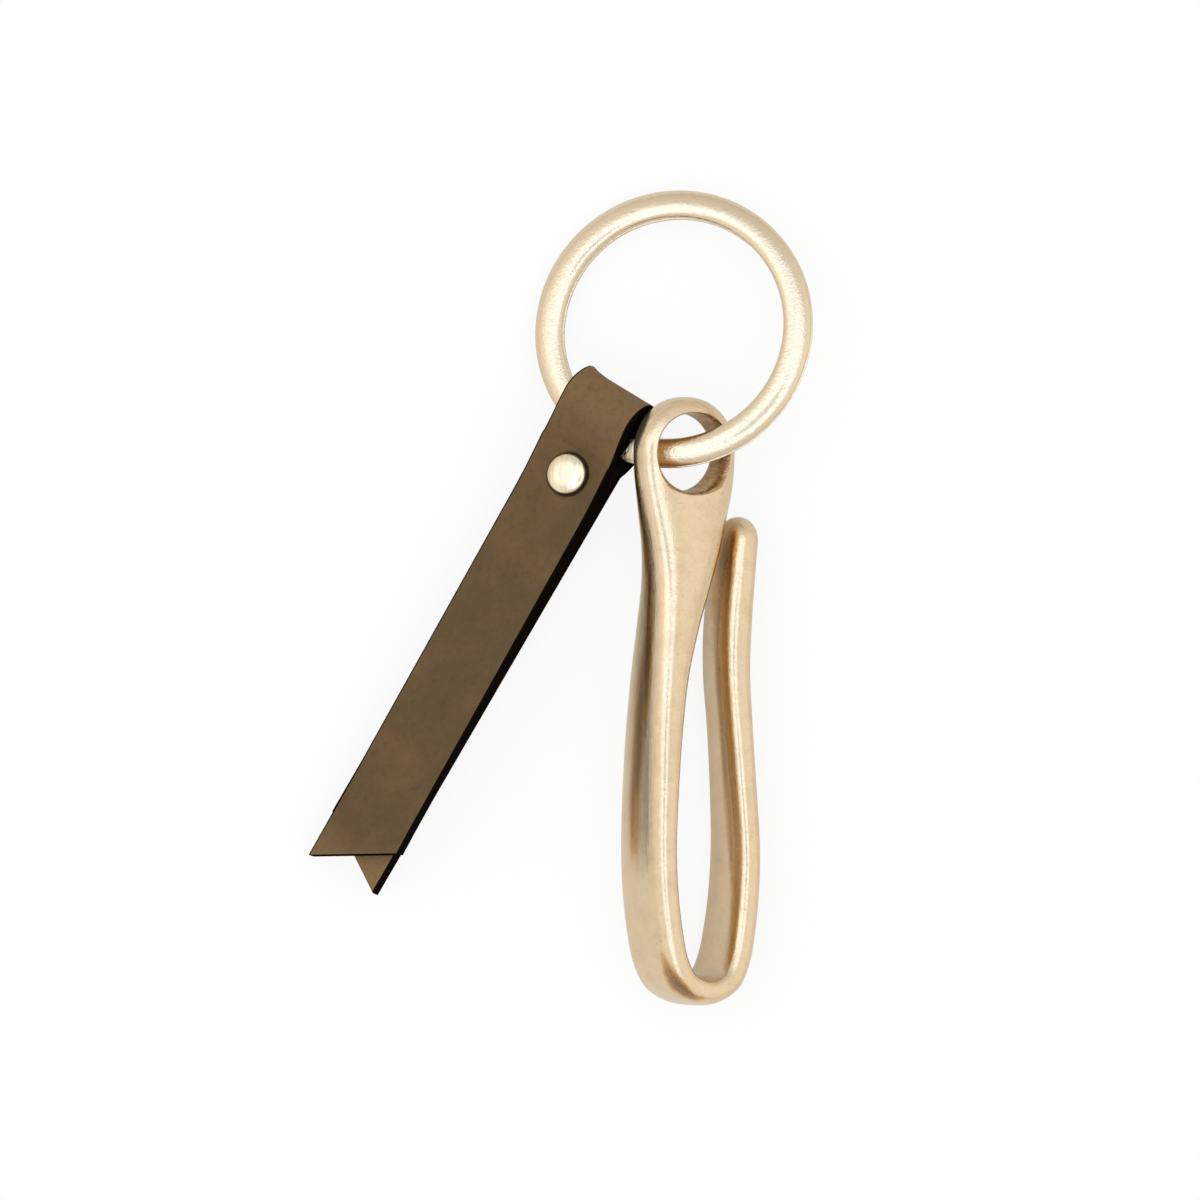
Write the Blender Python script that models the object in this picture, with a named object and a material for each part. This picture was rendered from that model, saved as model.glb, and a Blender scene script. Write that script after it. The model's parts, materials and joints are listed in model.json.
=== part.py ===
"""Key holder: a cast brass fish hook and a riveted leather strap on one split ring, laid on a table."""

import math

import bmesh
import bpy
from mathutils import Matrix, Vector

MM = 0.001

# Fits
FIT_GAP = 0.3 * MM
CUT_OVERRUN = 2.0 * MM

# Shading keeps edges sharper than this
ROUND_EDGE_DEG = 40.0

# A rounded end of the hook stops this share of a step short of its pole
END_STEP_SHARE = 0.5

# Search for the swing that lays a piece on the table
LAY_DOWN_SWING_DEG = 20.0
LAY_DOWN_STEPS = 40

# Split ring: one half-round wire wound twice, crowned outside and flat where its turns face,
# its two turns joined by a short ramp under the strap
RING_OUTER_DIAMETER = 38.2 * MM
RING_WIRE_WIDTH = 3.8 * MM
RING_WIRE_THICKNESS = 1.34 * MM
RING_TURN_GAP = 0.44 * MM
RING_CROWN_POWER = 2.1
RING_FLAT_POWER = 4.0
RING_FLAT_BULGE_SHARE = 0.14
RING_RAMP_DEG = 26.0
RING_TILT_DEG = 16.7
RING_TILT_AXIS_DEG = 47.0
RING_STEPS_PER_TURN = 60
RING_SECTION_STEPS = 16

# Where the hook and the strap hang on the ring, seen from above
EYE_PLACE_DEG = -84.2
LOOP_PLACE_DEG = -126.9

EYE_BEHIND_WIRE = 0.6 * MM

# Hook: eye, web, long arm, bend and short arm in one casting
HOOK_ROLL_DEG = 33.0
HOOK_LENGTH = 74.7 * MM
HOOK_SPREAD = 14.0 * MM
HOOK_ARM_THICKNESS = 4.0 * MM
HOOK_ARM_DEPTH = 10.7 * MM
HOOK_SECTION_POWER = 3.2
EYE_OUTER_RADIUS = 7.5 * MM
EYE_HOLE_RADIUS = 5.2 * MM
EYE_DEPTH = 5.6 * MM
EYE_RIM_ROUNDING = 2.0 * MM
EYE_RIM_WEB_SHARE = 0.3
EYE_HOLE_SEGMENTS = 32
EYE_RIM_STEPS = 4
EYE_TOP_STEPS = 6
HOOK_SECTION_POINTS = 20
HOOK_STEPS_PER_STATION = 3

# Each station: along and across the hook, then its thickness and its depth.
# Shares of the length, of the spread of the arms, of the arm's thickness and of the arm's depth.
HOOK_STATION_SHARES = (
    (0.000, 0.000, 3.75, 0.552),
    (-0.050, -0.004, 3.62, 0.560),
    (-0.100, -0.018, 3.25, 0.600),
    (-0.170, -0.047, 2.66, 0.672),
    (-0.240, -0.108, 2.10, 0.745),
    (-0.310, -0.192, 1.68, 0.820),
    (-0.400, -0.288, 1.34, 0.890),
    (-0.500, -0.355, 1.18, 0.945),
    (-0.610, -0.402, 1.06, 0.990),
    (-0.715, -0.424, 1.00, 1.000),
    (-0.800, -0.405, 1.00, 1.000),
    (-0.870, -0.355, 1.00, 1.000),
    (-0.920, -0.290, 0.99, 0.995),
    (-0.957, -0.165, 0.98, 0.990),
    (-0.974, 0.080, 0.97, 0.980),
    (-0.957, 0.315, 0.97, 0.960),
    (-0.920, 0.430, 0.97, 0.935),
    (-0.870, 0.496, 0.97, 0.910),
    (-0.800, 0.550, 0.97, 0.880),
    (-0.715, 0.574, 0.97, 0.845),
    (-0.610, 0.552, 0.98, 0.775),
    (-0.500, 0.516, 1.02, 0.730),
    (-0.400, 0.480, 1.07, 0.740),
    (-0.310, 0.496, 1.10, 0.750),
    (-0.220, 0.552, 1.05, 0.715),
    (-0.165, 0.600, 1.00, 0.660),
)
HOOK_TIP_STEPS = 5

# Strap: one leather strip folded over the ring and riveted to itself
STRAP_WIDTH = 11.3 * MM
STRAP_THICKNESS = 1.7 * MM
STRAP_EDGE_CHAMFER = 0.25 * MM
STRAP_LAYER_GAP = 0.8 * MM
STRAP_HEADING_DEG = -121.1
STRAP_ROLL_DEG = 22.0
STRAP_TAIL_LENGTH = 69.3 * MM
STRAP_CUT_RISE = 6.6 * MM
STRAP_FRONT_YAW_DEG = 1.1
STRAP_STEPS_PER_STATION = 2
LOOP_FOLD_REACH = 5.9 * MM
LOOP_FOLD_WIDTH = 10.7 * MM
LOOP_FRONT_RISE = 2.52 * MM
LOOP_BACK_RISE = 1.78 * MM
LAYERS_ABOVE_WIRE = 0.15 * MM
RIVET_REACH = 7.0 * MM
RIVET_SIDE = 0.4 * MM

# Middle line of the loop, from the front layer over the wire and back under it:
# shares of the fold's reach, and of the rise from the flat layer to the crown of its side.
LOOP_START_REACH = 4.0 * MM
LOOP_FRONT_SHARES = (
    (0.58, 0.09),
    (0.51, 0.21),
    (0.36, 0.42),
    (0.18, 0.60),
    (0.00, 0.76),
    (-0.20, 0.90),
    (-0.44, 0.96),
    (-0.66, 0.82),
    (-0.85, 0.46),
    (-0.97, -0.02),
    (-1.00, -0.45),
)
LOOP_BACK_SHARES = (
    (-0.98, -0.30),
    (-0.92, 0.12),
    (-0.81, 0.50),
    (-0.65, 0.80),
    (-0.44, 0.96),
    (-0.20, 1.00),
    (0.06, 1.00),
    (0.27, 0.88),
    (0.44, 0.58),
    (0.56, 0.22),
    (0.62, 0.07),
)

# Rivet: a domed cap on a flanged socket in front, the same on a flanged post behind
CAP_DIAMETER = 5.54 * MM
CAP_WALL = 0.38 * MM
CAP_SKIRT = 0.2 * MM
CAP_DOME_POWER = 2.8
FLANGE_THICKNESS = 0.35 * MM
SOCKET_DIAMETER = 3.0 * MM
POST_DIAMETER = 1.3 * MM
RIVET_SEGMENTS = 28
CAP_DOME_STEPS = 5


def material(name, colour, roughness, metallic):
    made = bpy.data.materials.new(name)
    made.use_nodes = True
    shader = made.node_tree.nodes["Principled BSDF"]
    shader.inputs["Base Color"].default_value = (*colour, 1.0)
    shader.inputs["Roughness"].default_value = roughness
    shader.inputs["Metallic"].default_value = metallic
    made.diffuse_color = (*colour, 1.0)
    return made


def cast_brass():
    return material("cast_brass", (0.72, 0.55, 0.33), 0.32, 1.0)


def ring_brass():
    return material("ring_brass", (0.76, 0.62, 0.40), 0.26, 1.0)


def leather():
    return material("leather", (0.130, 0.082, 0.042), 0.62, 0.0)


def rivet_brass():
    return material("rivet_brass", (0.80, 0.67, 0.44), 0.24, 1.0)


def clear_scene():
    for item in list(bpy.data.objects):
        bpy.data.objects.remove(item, do_unlink=True)


def superellipse(half_width, half_depth, power, count):
    """Points of a rounded rectangle, counter-clockwise from +u."""
    points = []
    for i in range(count):
        angle = 2 * math.pi * i / count
        c = math.cos(angle)
        s = math.sin(angle)
        u = math.copysign(abs(c) ** (2 / power), c)
        v = math.copysign(abs(s) ** (2 / power), s)
        points.append((half_width * u, half_depth * v))
    return points


def new_object(name, mesh_maker, made_material):
    """A bmesh with outward faces as a named object, shaded smooth where it is round."""
    mesh = bpy.data.meshes.new(name)
    bm = bmesh.new()
    mesh_maker(bm)
    bmesh.ops.recalc_face_normals(bm, faces=bm.faces)
    bm.to_mesh(mesh)
    bm.free()
    mesh.materials.append(made_material)
    made = bpy.data.objects.new(name, mesh)
    bpy.context.collection.objects.link(made)
    mesh.shade_smooth()
    mesh.set_sharp_from_angle(angle=math.radians(ROUND_EDGE_DEG))
    return made


def bridge(bm, first, second):
    count = len(first)
    for i in range(count):
        j = (i + 1) % count
        bm.faces.new((first[i], first[j], second[j], second[i]))


def loft(bm, loops, closed=False):
    """Joins loops of points into one skin, with flat ends unless it closes on itself."""
    rings = [[bm.verts.new(point) for point in loop] for loop in loops]
    for first, second in zip(rings, rings[1:]):
        bridge(bm, first, second)
    if closed:
        bridge(bm, rings[-1], rings[0])
    else:
        bm.faces.new(list(reversed(rings[0])))
        bm.faces.new(rings[-1])


def circle(radius, height, count):
    points = []
    for i in range(count):
        angle = 2 * math.pi * i / count
        points.append(Vector((radius * math.cos(angle), radius * math.sin(angle), height)))
    return points


def turned(bm, profile, count, closed=False):
    """A turned piece about Z: a profile of (radius, height), where radius 0 is its pole."""
    rings = []
    for radius, height in profile:
        if radius == 0:
            rings.append([bm.verts.new(Vector((0, 0, height)))])
        else:
            rings.append([bm.verts.new(p) for p in circle(radius, height, count)])
    pairs = list(zip(rings, rings[1:]))
    if closed:
        pairs.append((rings[-1], rings[0]))
    for first, second in pairs:
        if len(first) == 1 or len(second) == 1:
            pole, rim = (first, second) if len(first) == 1 else (second, first)
            for i in range(count):
                bm.faces.new((pole[0], rim[i], rim[(i + 1) % count]))
        else:
            bridge(bm, first, second)


def spline_point(a, b, c, d, t):
    """A value between b and c on a smooth curve that passes a, b, c and d."""
    steady = 2 * b + (c - a) * t
    return (steady + (2 * a - 5 * b + 4 * c - d) * t**2 + (3 * b - a - 3 * c + d) * t**3) / 2


def spline(points, steps):
    """A smooth curve through points of any dimension, steps to each span."""
    first = [2 * a - b for a, b in zip(points[0], points[1])]
    last = [2 * a - b for a, b in zip(points[-1], points[-2])]
    padded = [first, *points, last]
    out = []
    for i in range(1, len(padded) - 2):
        p0, p1, p2, p3 = padded[i - 1 : i + 3]
        for k in range(steps):
            t = k / steps
            out.append(tuple(spline_point(a, b, c, d, t) for a, b, c, d in zip(p0, p1, p2, p3)))
    out.append(tuple(points[-1]))
    return out


def smooth_step(t):
    t = min(max(t, 0.0), 1.0)
    return t * t * (3 - 2 * t)


def ring_radius():
    return (RING_OUTER_DIAMETER - RING_WIRE_WIDTH) / 2


def ring_wire_angles():
    """Angles along the wire in degrees, from its upper end to its lower one."""
    total = 720.0 - RING_RAMP_DEG
    count = round(total * RING_STEPS_PER_TURN / 360.0)
    start = LOOP_PLACE_DEG - RING_TILT_AXIS_DEG + RING_RAMP_DEG / 2
    return [(start + total * i / count, total * i / count) for i in range(count + 1)]


def ring_upper_share(run):
    """1 on the upper turn, 0 on the lower one, and between them on the ramp, at a run in degrees."""
    ramp_start = 360.0 - RING_RAMP_DEG
    return 1 - smooth_step((run - ramp_start) / RING_RAMP_DEG)


def ring_side(crowned):
    """Outline of a wire with both sides alike, from flat at 0 to crowned at 1."""
    rise = RING_WIRE_THICKNESS * (RING_FLAT_BULGE_SHARE + (1 - 2 * RING_FLAT_BULGE_SHARE) * crowned)
    power = RING_FLAT_POWER + (RING_CROWN_POWER - RING_FLAT_POWER) * crowned
    half_wide = RING_WIRE_WIDTH / 2
    return superellipse(half_wide, rise, power, RING_SECTION_STEPS)


def ring_section(upper):
    """The wire's section: out from its middle, and height above the ring's middle plane."""
    over = ring_side(upper)
    under = ring_side(1 - upper)
    half = len(over) // 2
    widest = RING_TURN_GAP / 2 + RING_WIRE_THICKNESS * RING_FLAT_BULGE_SHARE
    height = widest * (2 * upper - 1)
    return [(u, height + v) for u, v in over[:half] + under[half:]]


def ring_loops():
    loops = []
    for angle_deg, run in ring_wire_angles():
        angle = math.radians(angle_deg)
        loops.append(
            [
                Vector(((ring_radius() + u) * math.cos(angle), (ring_radius() + u) * math.sin(angle), height))
                for u, height in ring_section(ring_upper_share(run))
            ]
        )
    return loops


def least_gap_between_turns(loops):
    """Least distance between points of the wire that lie more than half a turn apart along it."""
    apart = RING_STEPS_PER_TURN // 2
    least = RING_OUTER_DIAMETER
    for i, loop in enumerate(loops):
        for other in loops[i + apart :]:
            if (loop[0] - other[0]).length > RING_WIRE_WIDTH:
                continue
            least = min(least, min((a - b).length for a in loop for b in other))
    return least


def ring_frame():
    """The ring's own axes: X along its tilt axis, Z its normal, its lower right side raised."""
    heading = Matrix.Rotation(math.radians(RING_TILT_AXIS_DEG), 4, "Z")
    tilt = Matrix.Rotation(math.radians(RING_TILT_DEG), 4, "X")
    return heading @ tilt.inverted()


def place_on_wire(place_deg):
    """The middle of the wire below a direction seen from above, and the wire's direction there."""
    frame = ring_frame()
    around = math.radians(place_deg - RING_TILT_AXIS_DEG)
    own = math.atan2(math.sin(around) / math.cos(math.radians(RING_TILT_DEG)), math.cos(around))
    outward = frame @ Vector((math.cos(own), math.sin(own), 0))
    along = frame @ Vector((-math.sin(own), math.cos(own), 0))
    return outward * ring_radius(), along


def make_ring():
    loops = ring_loops()
    made = new_object("split_ring", lambda bm: loft(bm, loops), ring_brass())
    made.matrix_world = ring_frame()
    print("ring: least gap between its turns, mm", round(least_gap_between_turns(loops) / MM, 3))
    return made


def hook_stations():
    """Smooth stations from the eye to the tip: across, along, half thickness, half depth."""
    rows = [
        (
            across * HOOK_SPREAD,
            along * HOOK_LENGTH,
            thick * HOOK_ARM_THICKNESS / 2,
            deep * HOOK_ARM_DEPTH / 2,
        )
        for along, across, thick, deep in HOOK_STATION_SHARES
    ]
    return spline(rows, HOOK_STEPS_PER_STATION)


def hook_loop(x, y, tangent, half_thick, half_deep):
    normal = Vector((-tangent.y, tangent.x, 0))
    section = superellipse(half_thick, half_deep, HOOK_SECTION_POWER, HOOK_SECTION_POINTS)
    return [Vector((x, y, 0)) + normal * u + Vector((0, 0, v)) for u, v in section]


def rounded_share(t):
    """How much of the full size is left at share t of a rounded end."""
    return (1 - t**HOOK_SECTION_POWER) ** (1 / HOOK_SECTION_POWER)


def eye_top_loops(half_thick, half_deep):
    """The crown of the eye, above its middle."""
    down = Vector((0, -1, 0))
    loops = []
    for i in range(EYE_TOP_STEPS, 0, -1):
        rise = math.sin(math.pi / 2 * i / (EYE_TOP_STEPS + END_STEP_SHARE))
        thick = half_thick * math.sqrt(1 - rise**2)
        loops.append(hook_loop(0, EYE_OUTER_RADIUS * rise, down, thick, half_deep * rounded_share(rise)))
    return loops


def tip_loops(x, y, tangent, half_thick, half_deep):
    """The rounded end of the short arm."""
    loops = []
    for i in range(1, HOOK_TIP_STEPS + 1):
        share = math.sin(math.pi / 2 * i / (HOOK_TIP_STEPS + END_STEP_SHARE))
        left = math.sqrt(1 - share**2)
        reach = half_deep * share
        middle = Vector((x, y, 0)) + tangent * reach
        loops.append(hook_loop(middle.x, middle.y, tangent, half_thick * left, half_deep * left))
    return loops


def hook_loops():
    stations = hook_stations()
    loops = eye_top_loops(stations[0][2], stations[0][3])
    tangent = Vector((0, -1, 0))
    for i, (x, y, half_thick, half_deep) in enumerate(stations):
        before = stations[max(i - 1, 0)]
        after = stations[min(i + 1, len(stations) - 1)]
        if i:
            tangent = Vector((after[0] - before[0], after[1] - before[1], 0)).normalized()
        loops.append(hook_loop(x, y, tangent, half_thick, half_deep))
    x, y, half_thick, half_deep = stations[-1]
    return loops + tip_loops(x, y, tangent, half_thick, half_deep)


def eye_hole_levels():
    """Half of the hole's cutter, from its middle out: how far it flares at each height."""
    start = EYE_DEPTH / 2 - EYE_RIM_ROUNDING
    levels = [(0, start)]
    for i in range(1, EYE_RIM_STEPS + 1):
        angle = math.pi / 2 * i / EYE_RIM_STEPS
        levels.append((EYE_RIM_ROUNDING * (1 - math.cos(angle)), start + EYE_RIM_ROUNDING * math.sin(angle)))
    levels.append((EYE_RIM_ROUNDING, EYE_DEPTH / 2 + CUT_OVERRUN))
    return levels


def eye_hole_cutter():
    """The hole's cutter: it rounds the eye's sides more than the web below the hole."""
    half = eye_hole_levels()
    loops = []
    for flare, height in [(f, -z) for f, z in reversed(half)] + half:
        across = EYE_HOLE_RADIUS + flare
        up = EYE_HOLE_RADIUS + flare * EYE_RIM_WEB_SHARE
        section = superellipse(across, up, 2, EYE_HOLE_SEGMENTS)
        loops.append([Vector((u, v, height)) for u, v in section])
    return cutter("eye_hole_cutter", lambda bm: loft(bm, loops))


def cutter(name, mesh_maker):
    made = new_object(name, mesh_maker, cast_brass())
    made.hide_render = True
    made.display_type = "WIRE"
    return made


def cut(piece, tool):
    """Cuts the tool's shape out of the piece for good and removes the tool."""
    boolean = piece.modifiers.new(tool.name, "BOOLEAN")
    boolean.operation = "DIFFERENCE"
    boolean.solver = "EXACT"
    boolean.object = tool
    bpy.context.view_layer.update()
    graph = bpy.context.evaluated_depsgraph_get()
    mesh = bpy.data.meshes.new_from_object(piece.evaluated_get(graph))
    piece.modifiers.remove(boolean)
    piece.data = mesh
    bpy.data.objects.remove(tool, do_unlink=True)


def hook_axes():
    roll = math.radians(HOOK_ROLL_DEG)
    return Matrix.Rotation(roll, 4, "Y")


def make_hook():
    loops = hook_loops()
    made = new_object("hook", lambda bm: loft(bm, loops), cast_brass())
    cut(made, eye_hole_cutter())
    return made


def layer_heights():
    """Middle heights of the strap's front and back layers, seen from the wire's middle."""
    half = (STRAP_LAYER_GAP + STRAP_THICKNESS) / 2
    return LAYERS_ABOVE_WIRE + half, LAYERS_ABOVE_WIRE - half


def loop_middle_line():
    """Middle line of the loop over the wire and back under it: reach, height and lift off the flat layer."""
    front, back = layer_heights()
    over = [(r * LOOP_FOLD_REACH, front + h * LOOP_FRONT_RISE) for r, h in LOOP_FRONT_SHARES]
    under = [(r * LOOP_FOLD_REACH, back - h * LOOP_BACK_RISE) for r, h in LOOP_BACK_SHARES]
    stations = [(LOOP_START_REACH, front), *over, *under, (LOOP_START_REACH, back)]
    return spline(stations, STRAP_STEPS_PER_STATION)


def loop_lift(reach, height):
    """How far, from 0 to 1, the loop follows the wire: not on the flat layers, nor at the fold."""
    front, back = layer_heights()
    if height > LAYERS_ABOVE_WIRE:
        rise = smooth_step((height - front) / LOOP_FRONT_RISE)
    else:
        rise = smooth_step((back - height) / LOOP_BACK_RISE)
    return rise * (1 - smooth_step(-reach / LOOP_FOLD_REACH))


def strap_width(reach):
    """Width of the strap at a place along it: it narrows towards the fold."""
    narrow = smooth_step((LOOP_START_REACH - reach) / (LOOP_START_REACH + LOOP_FOLD_REACH))
    return STRAP_WIDTH + (LOOP_FOLD_WIDTH - STRAP_WIDTH) * narrow


def strap_section(reach):
    """Corners of the strap's section: across its width, and through its thickness."""
    w = strap_width(reach) / 2
    t = STRAP_THICKNESS / 2
    c = STRAP_EDGE_CHAMFER
    right = [(w - c, t), (w, t - c), (w, c - t), (w - c, -t)]
    return right + [(-across, through) for across, through in reversed(right)]


def strap_loop(reach, height, normal, slant=0.0, yaw=0.0, lean=0.0):
    """One section of the strap in its own axes: X to the tips, Y across, Z out of its front."""
    points = []
    for across, through in strap_section(reach):
        x = reach + normal[0] * through + across * slant
        z = height + normal[1] * through + across * lean
        points.append(Vector((x, across + yaw, z)))
    return points


def wire_in_strap():
    """How far the wire runs to the tips and out of the front for each step across the strap."""
    along = strap_axes().inverted() @ place_on_wire(LOOP_PLACE_DEG)[1]
    return along.x / along.y, along.z / along.y


def strap_loops():
    front, back = layer_heights()
    bend = loop_middle_line()
    mean_tail = STRAP_TAIL_LENGTH - STRAP_CUT_RISE / 2
    slant = STRAP_CUT_RISE / STRAP_WIDTH
    whole_width = mean_tail - STRAP_CUT_RISE
    yaw = math.tan(math.radians(STRAP_FRONT_YAW_DEG))
    skew, lean = wire_in_strap()
    loops = [
        strap_loop(mean_tail, front, (0, 1), slant=-slant, yaw=yaw * (mean_tail - RIVET_REACH)),
        strap_loop(whole_width, front, (0, 1), yaw=yaw * (whole_width - RIVET_REACH)),
        strap_loop(RIVET_REACH, front, (0, 1)),
        strap_loop(LOOP_START_REACH, front, (0, 1)),
    ]
    for before, (reach, height), after in zip(bend, bend[1:], bend[2:]):
        along = Vector((after[0] - before[0], after[1] - before[1])).normalized()
        lift = loop_lift(reach, height)
        below = lean * lift if height < LAYERS_ABOVE_WIRE else 0.0
        loops.append(strap_loop(reach, height, (along.y, -along.x), slant=skew * lift, lean=below))
    loops += [
        strap_loop(LOOP_START_REACH, back, (0, -1)),
        strap_loop(RIVET_REACH, back, (0, -1)),
        strap_loop(whole_width, back, (0, -1)),
        strap_loop(mean_tail, back, (0, -1), slant=slant),
    ]
    return loops


def strap_axes():
    heading = Matrix.Rotation(math.radians(STRAP_HEADING_DEG), 4, "Z")
    roll = Matrix.Rotation(math.radians(STRAP_ROLL_DEG), 4, "X")
    return heading @ roll


def strap_face_height():
    """Height of the flat front face above the gap between the two layers."""
    return STRAP_LAYER_GAP / 2 + STRAP_THICKNESS


def rivet_hole_cutter():
    reach = strap_face_height() + CUT_OVERRUN
    radius = SOCKET_DIAMETER / 2 + FIT_GAP
    profile = [(0, -reach), (radius, -reach), (radius, reach), (0, reach)]
    made = cutter("rivet_hole_cutter", lambda bm: turned(bm, profile, RIVET_SEGMENTS))
    made.location = (RIVET_REACH, RIVET_SIDE, LAYERS_ABOVE_WIRE)
    return made


def make_strap():
    loops = strap_loops()
    made = new_object("leather_strap", lambda bm: loft(bm, loops), leather())
    cut(made, rivet_hole_cutter())
    return made


def cap_profile():
    """A domed cap, open below: over its dome, round its edge and back inside."""
    foot = strap_face_height() + FIT_GAP
    flange_top = foot + FLANGE_THICKNESS
    ceiling = flange_top + FIT_GAP
    radius = CAP_DIAMETER / 2
    rise = ceiling + CAP_WALL - foot - CAP_SKIRT
    profile = [(0, foot + CAP_SKIRT + rise)]
    for i in range(1, CAP_DOME_STEPS + 1):
        angle = math.pi / 2 * i / CAP_DOME_STEPS
        r = radius * math.sin(angle) ** (2 / CAP_DOME_POWER)
        z = rise * max(math.cos(angle), 0) ** (2 / CAP_DOME_POWER) if i < CAP_DOME_STEPS else 0
        profile.append((r, foot + CAP_SKIRT + z))
    profile.append((radius, foot))
    profile.append((radius - CAP_WALL, foot))
    profile.append((radius - CAP_WALL, (flange_top + ceiling) / 2))
    profile.append((flange_radius() + FIT_GAP / 2, ceiling))
    profile.append((0, ceiling))
    return profile


def flange_radius():
    return CAP_DIAMETER / 2 - CAP_WALL - FIT_GAP


def socket_profile():
    """A flange with a tube through both layers, open from end to end."""
    seat = strap_face_height() + FIT_GAP
    bore = POST_DIAMETER / 2 + FIT_GAP
    top = seat + FLANGE_THICKNESS
    outer = SOCKET_DIAMETER / 2
    end = -strap_face_height()
    flange = flange_radius()
    return [(bore, top), (flange, top), (flange, seat), (outer, seat), (outer, end), (bore, end)]


def post_profile():
    """A flange with a pin that stands inside the socket."""
    seat = -strap_face_height() - FIT_GAP
    pin = POST_DIAMETER / 2
    foot = seat - FLANGE_THICKNESS
    flange = flange_radius()
    return [(0, foot), (flange, foot), (flange, seat), (pin, seat), (pin, -seat), (0, -seat)]


def make_rivet():
    """The rivet's four pieces in the strap's own axes."""
    front = cap_profile()
    back = [(r, -z) for r, z in front]
    front_cap = new_object("rivet_front_cap", lambda bm: turned(bm, front, RIVET_SEGMENTS), rivet_brass())
    back_cap = new_object("rivet_back_cap", lambda bm: turned(bm, back, RIVET_SEGMENTS), rivet_brass())
    socket = new_object(
        "rivet_socket", lambda bm: turned(bm, socket_profile(), RIVET_SEGMENTS, closed=True), rivet_brass()
    )
    post = new_object("rivet_post", lambda bm: turned(bm, post_profile(), RIVET_SEGMENTS), rivet_brass())
    return [front_cap, socket, post, back_cap]


def lowest(pieces, turn):
    return min((turn @ piece.matrix_basis @ v.co).z for piece in pieces for v in piece.data.vertices)


def lay_down(pieces, place_deg, axes, floor):
    """Swings pieces about the wire until the lowest of them meets the table."""
    point, along = place_on_wire(place_deg)
    low = -LAY_DOWN_SWING_DEG
    high = LAY_DOWN_SWING_DEG
    for _ in range(LAY_DOWN_STEPS):
        middle = (low + high) / 2
        turn = Matrix.Translation(point) @ Matrix.Rotation(math.radians(middle), 4, along) @ axes
        if lowest(pieces, turn) < floor:
            high = middle
        else:
            low = middle
    return Matrix.Translation(point) @ Matrix.Rotation(math.radians(low), 4, along) @ axes


def hold(name, pose, pieces):
    """An empty at the ring's middle, its Z on the ring's axis, that carries pieces round the ring."""
    empty = bpy.data.objects.new(name, None)
    bpy.context.collection.objects.link(empty)
    empty.matrix_world = ring_frame()
    for piece in pieces:
        piece.parent = empty
        piece.matrix_local = ring_frame().inverted() @ pose @ piece.matrix_basis
    return empty


def whole_box(pieces):
    bpy.context.view_layer.update()
    points = [piece.matrix_world @ v.co for piece in pieces for v in piece.data.vertices]
    low = [min(p[k] for p in points) for k in range(3)]
    high = [max(p[k] for p in points) for k in range(3)]
    return low, high


def main():
    clear_scene()
    ring = make_ring()
    hook = make_hook()
    strap = make_strap()
    rivet = make_rivet()
    for piece in rivet:
        piece.location = (RIVET_REACH, RIVET_SIDE, LAYERS_ABOVE_WIRE)
    hook.location.z = -EYE_BEHIND_WIRE
    bpy.context.view_layer.update()
    floor = lowest([ring], Matrix.Identity(4))
    hook_pose = lay_down([hook], EYE_PLACE_DEG, hook_axes(), floor)
    strap_pose = lay_down([strap, *rivet], LOOP_PLACE_DEG, strap_axes(), floor)
    hook_hold = hold("hook_travel", hook_pose, [hook])
    strap_hold = hold("strap_travel", strap_pose, [strap, *rivet])
    low, high = whole_box([ring, hook, strap, *rivet])
    stand = bpy.data.objects.new("key_holder", None)
    bpy.context.collection.objects.link(stand)
    for item in (ring, hook_hold, strap_hold):
        item.parent = stand
    stand.location = (-(low[0] + high[0]) / 2, -(low[1] + high[1]) / 2, -low[2])
    bpy.context.view_layer.update()


main()
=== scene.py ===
"""Looks of a key holder: a cast brass fish hook and a riveted leather strap on a split ring.

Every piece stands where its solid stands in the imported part, with finer edges and its finish.
"""

import json
import math

import bmesh
import bpy
import numpy as np
from bpy.props import FloatProperty, FloatVectorProperty, PointerProperty
from mathutils import Euler, Matrix, Vector

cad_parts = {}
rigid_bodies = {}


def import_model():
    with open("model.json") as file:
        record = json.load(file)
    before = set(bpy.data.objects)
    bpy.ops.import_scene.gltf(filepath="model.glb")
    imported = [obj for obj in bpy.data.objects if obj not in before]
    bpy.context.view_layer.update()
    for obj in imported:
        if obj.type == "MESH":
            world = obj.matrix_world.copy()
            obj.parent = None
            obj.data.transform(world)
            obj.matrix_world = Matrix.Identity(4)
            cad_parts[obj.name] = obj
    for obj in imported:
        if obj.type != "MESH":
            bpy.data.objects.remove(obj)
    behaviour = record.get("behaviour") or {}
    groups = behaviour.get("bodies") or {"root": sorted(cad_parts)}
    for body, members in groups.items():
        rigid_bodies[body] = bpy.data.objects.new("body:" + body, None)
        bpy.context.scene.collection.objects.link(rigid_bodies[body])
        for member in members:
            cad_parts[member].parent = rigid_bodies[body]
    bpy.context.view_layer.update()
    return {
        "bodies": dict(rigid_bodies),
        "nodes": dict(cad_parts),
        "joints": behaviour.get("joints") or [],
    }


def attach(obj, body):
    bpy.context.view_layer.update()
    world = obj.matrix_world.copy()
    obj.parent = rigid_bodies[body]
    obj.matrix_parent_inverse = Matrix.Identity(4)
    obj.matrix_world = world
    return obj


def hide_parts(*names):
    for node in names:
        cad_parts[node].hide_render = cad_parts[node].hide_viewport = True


bl_info = {
    "name": "Key Holder",
    "version": (1, 0, 0),
    "blender": (4, 5, 0),
    "location": "3D View > Sidebar > Key Holder",
    "description": "Dresses the packed key holder in its fine meshes and finishes",
    "category": "Object",
}

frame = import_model()

MM = 0.001
TURN_DEG = 360.0
SHARP_EDGE_DEG = 42.0
# A rounded end's last section stands this share of a step short of its point
END_STEP_SHARE = 0.5

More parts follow.
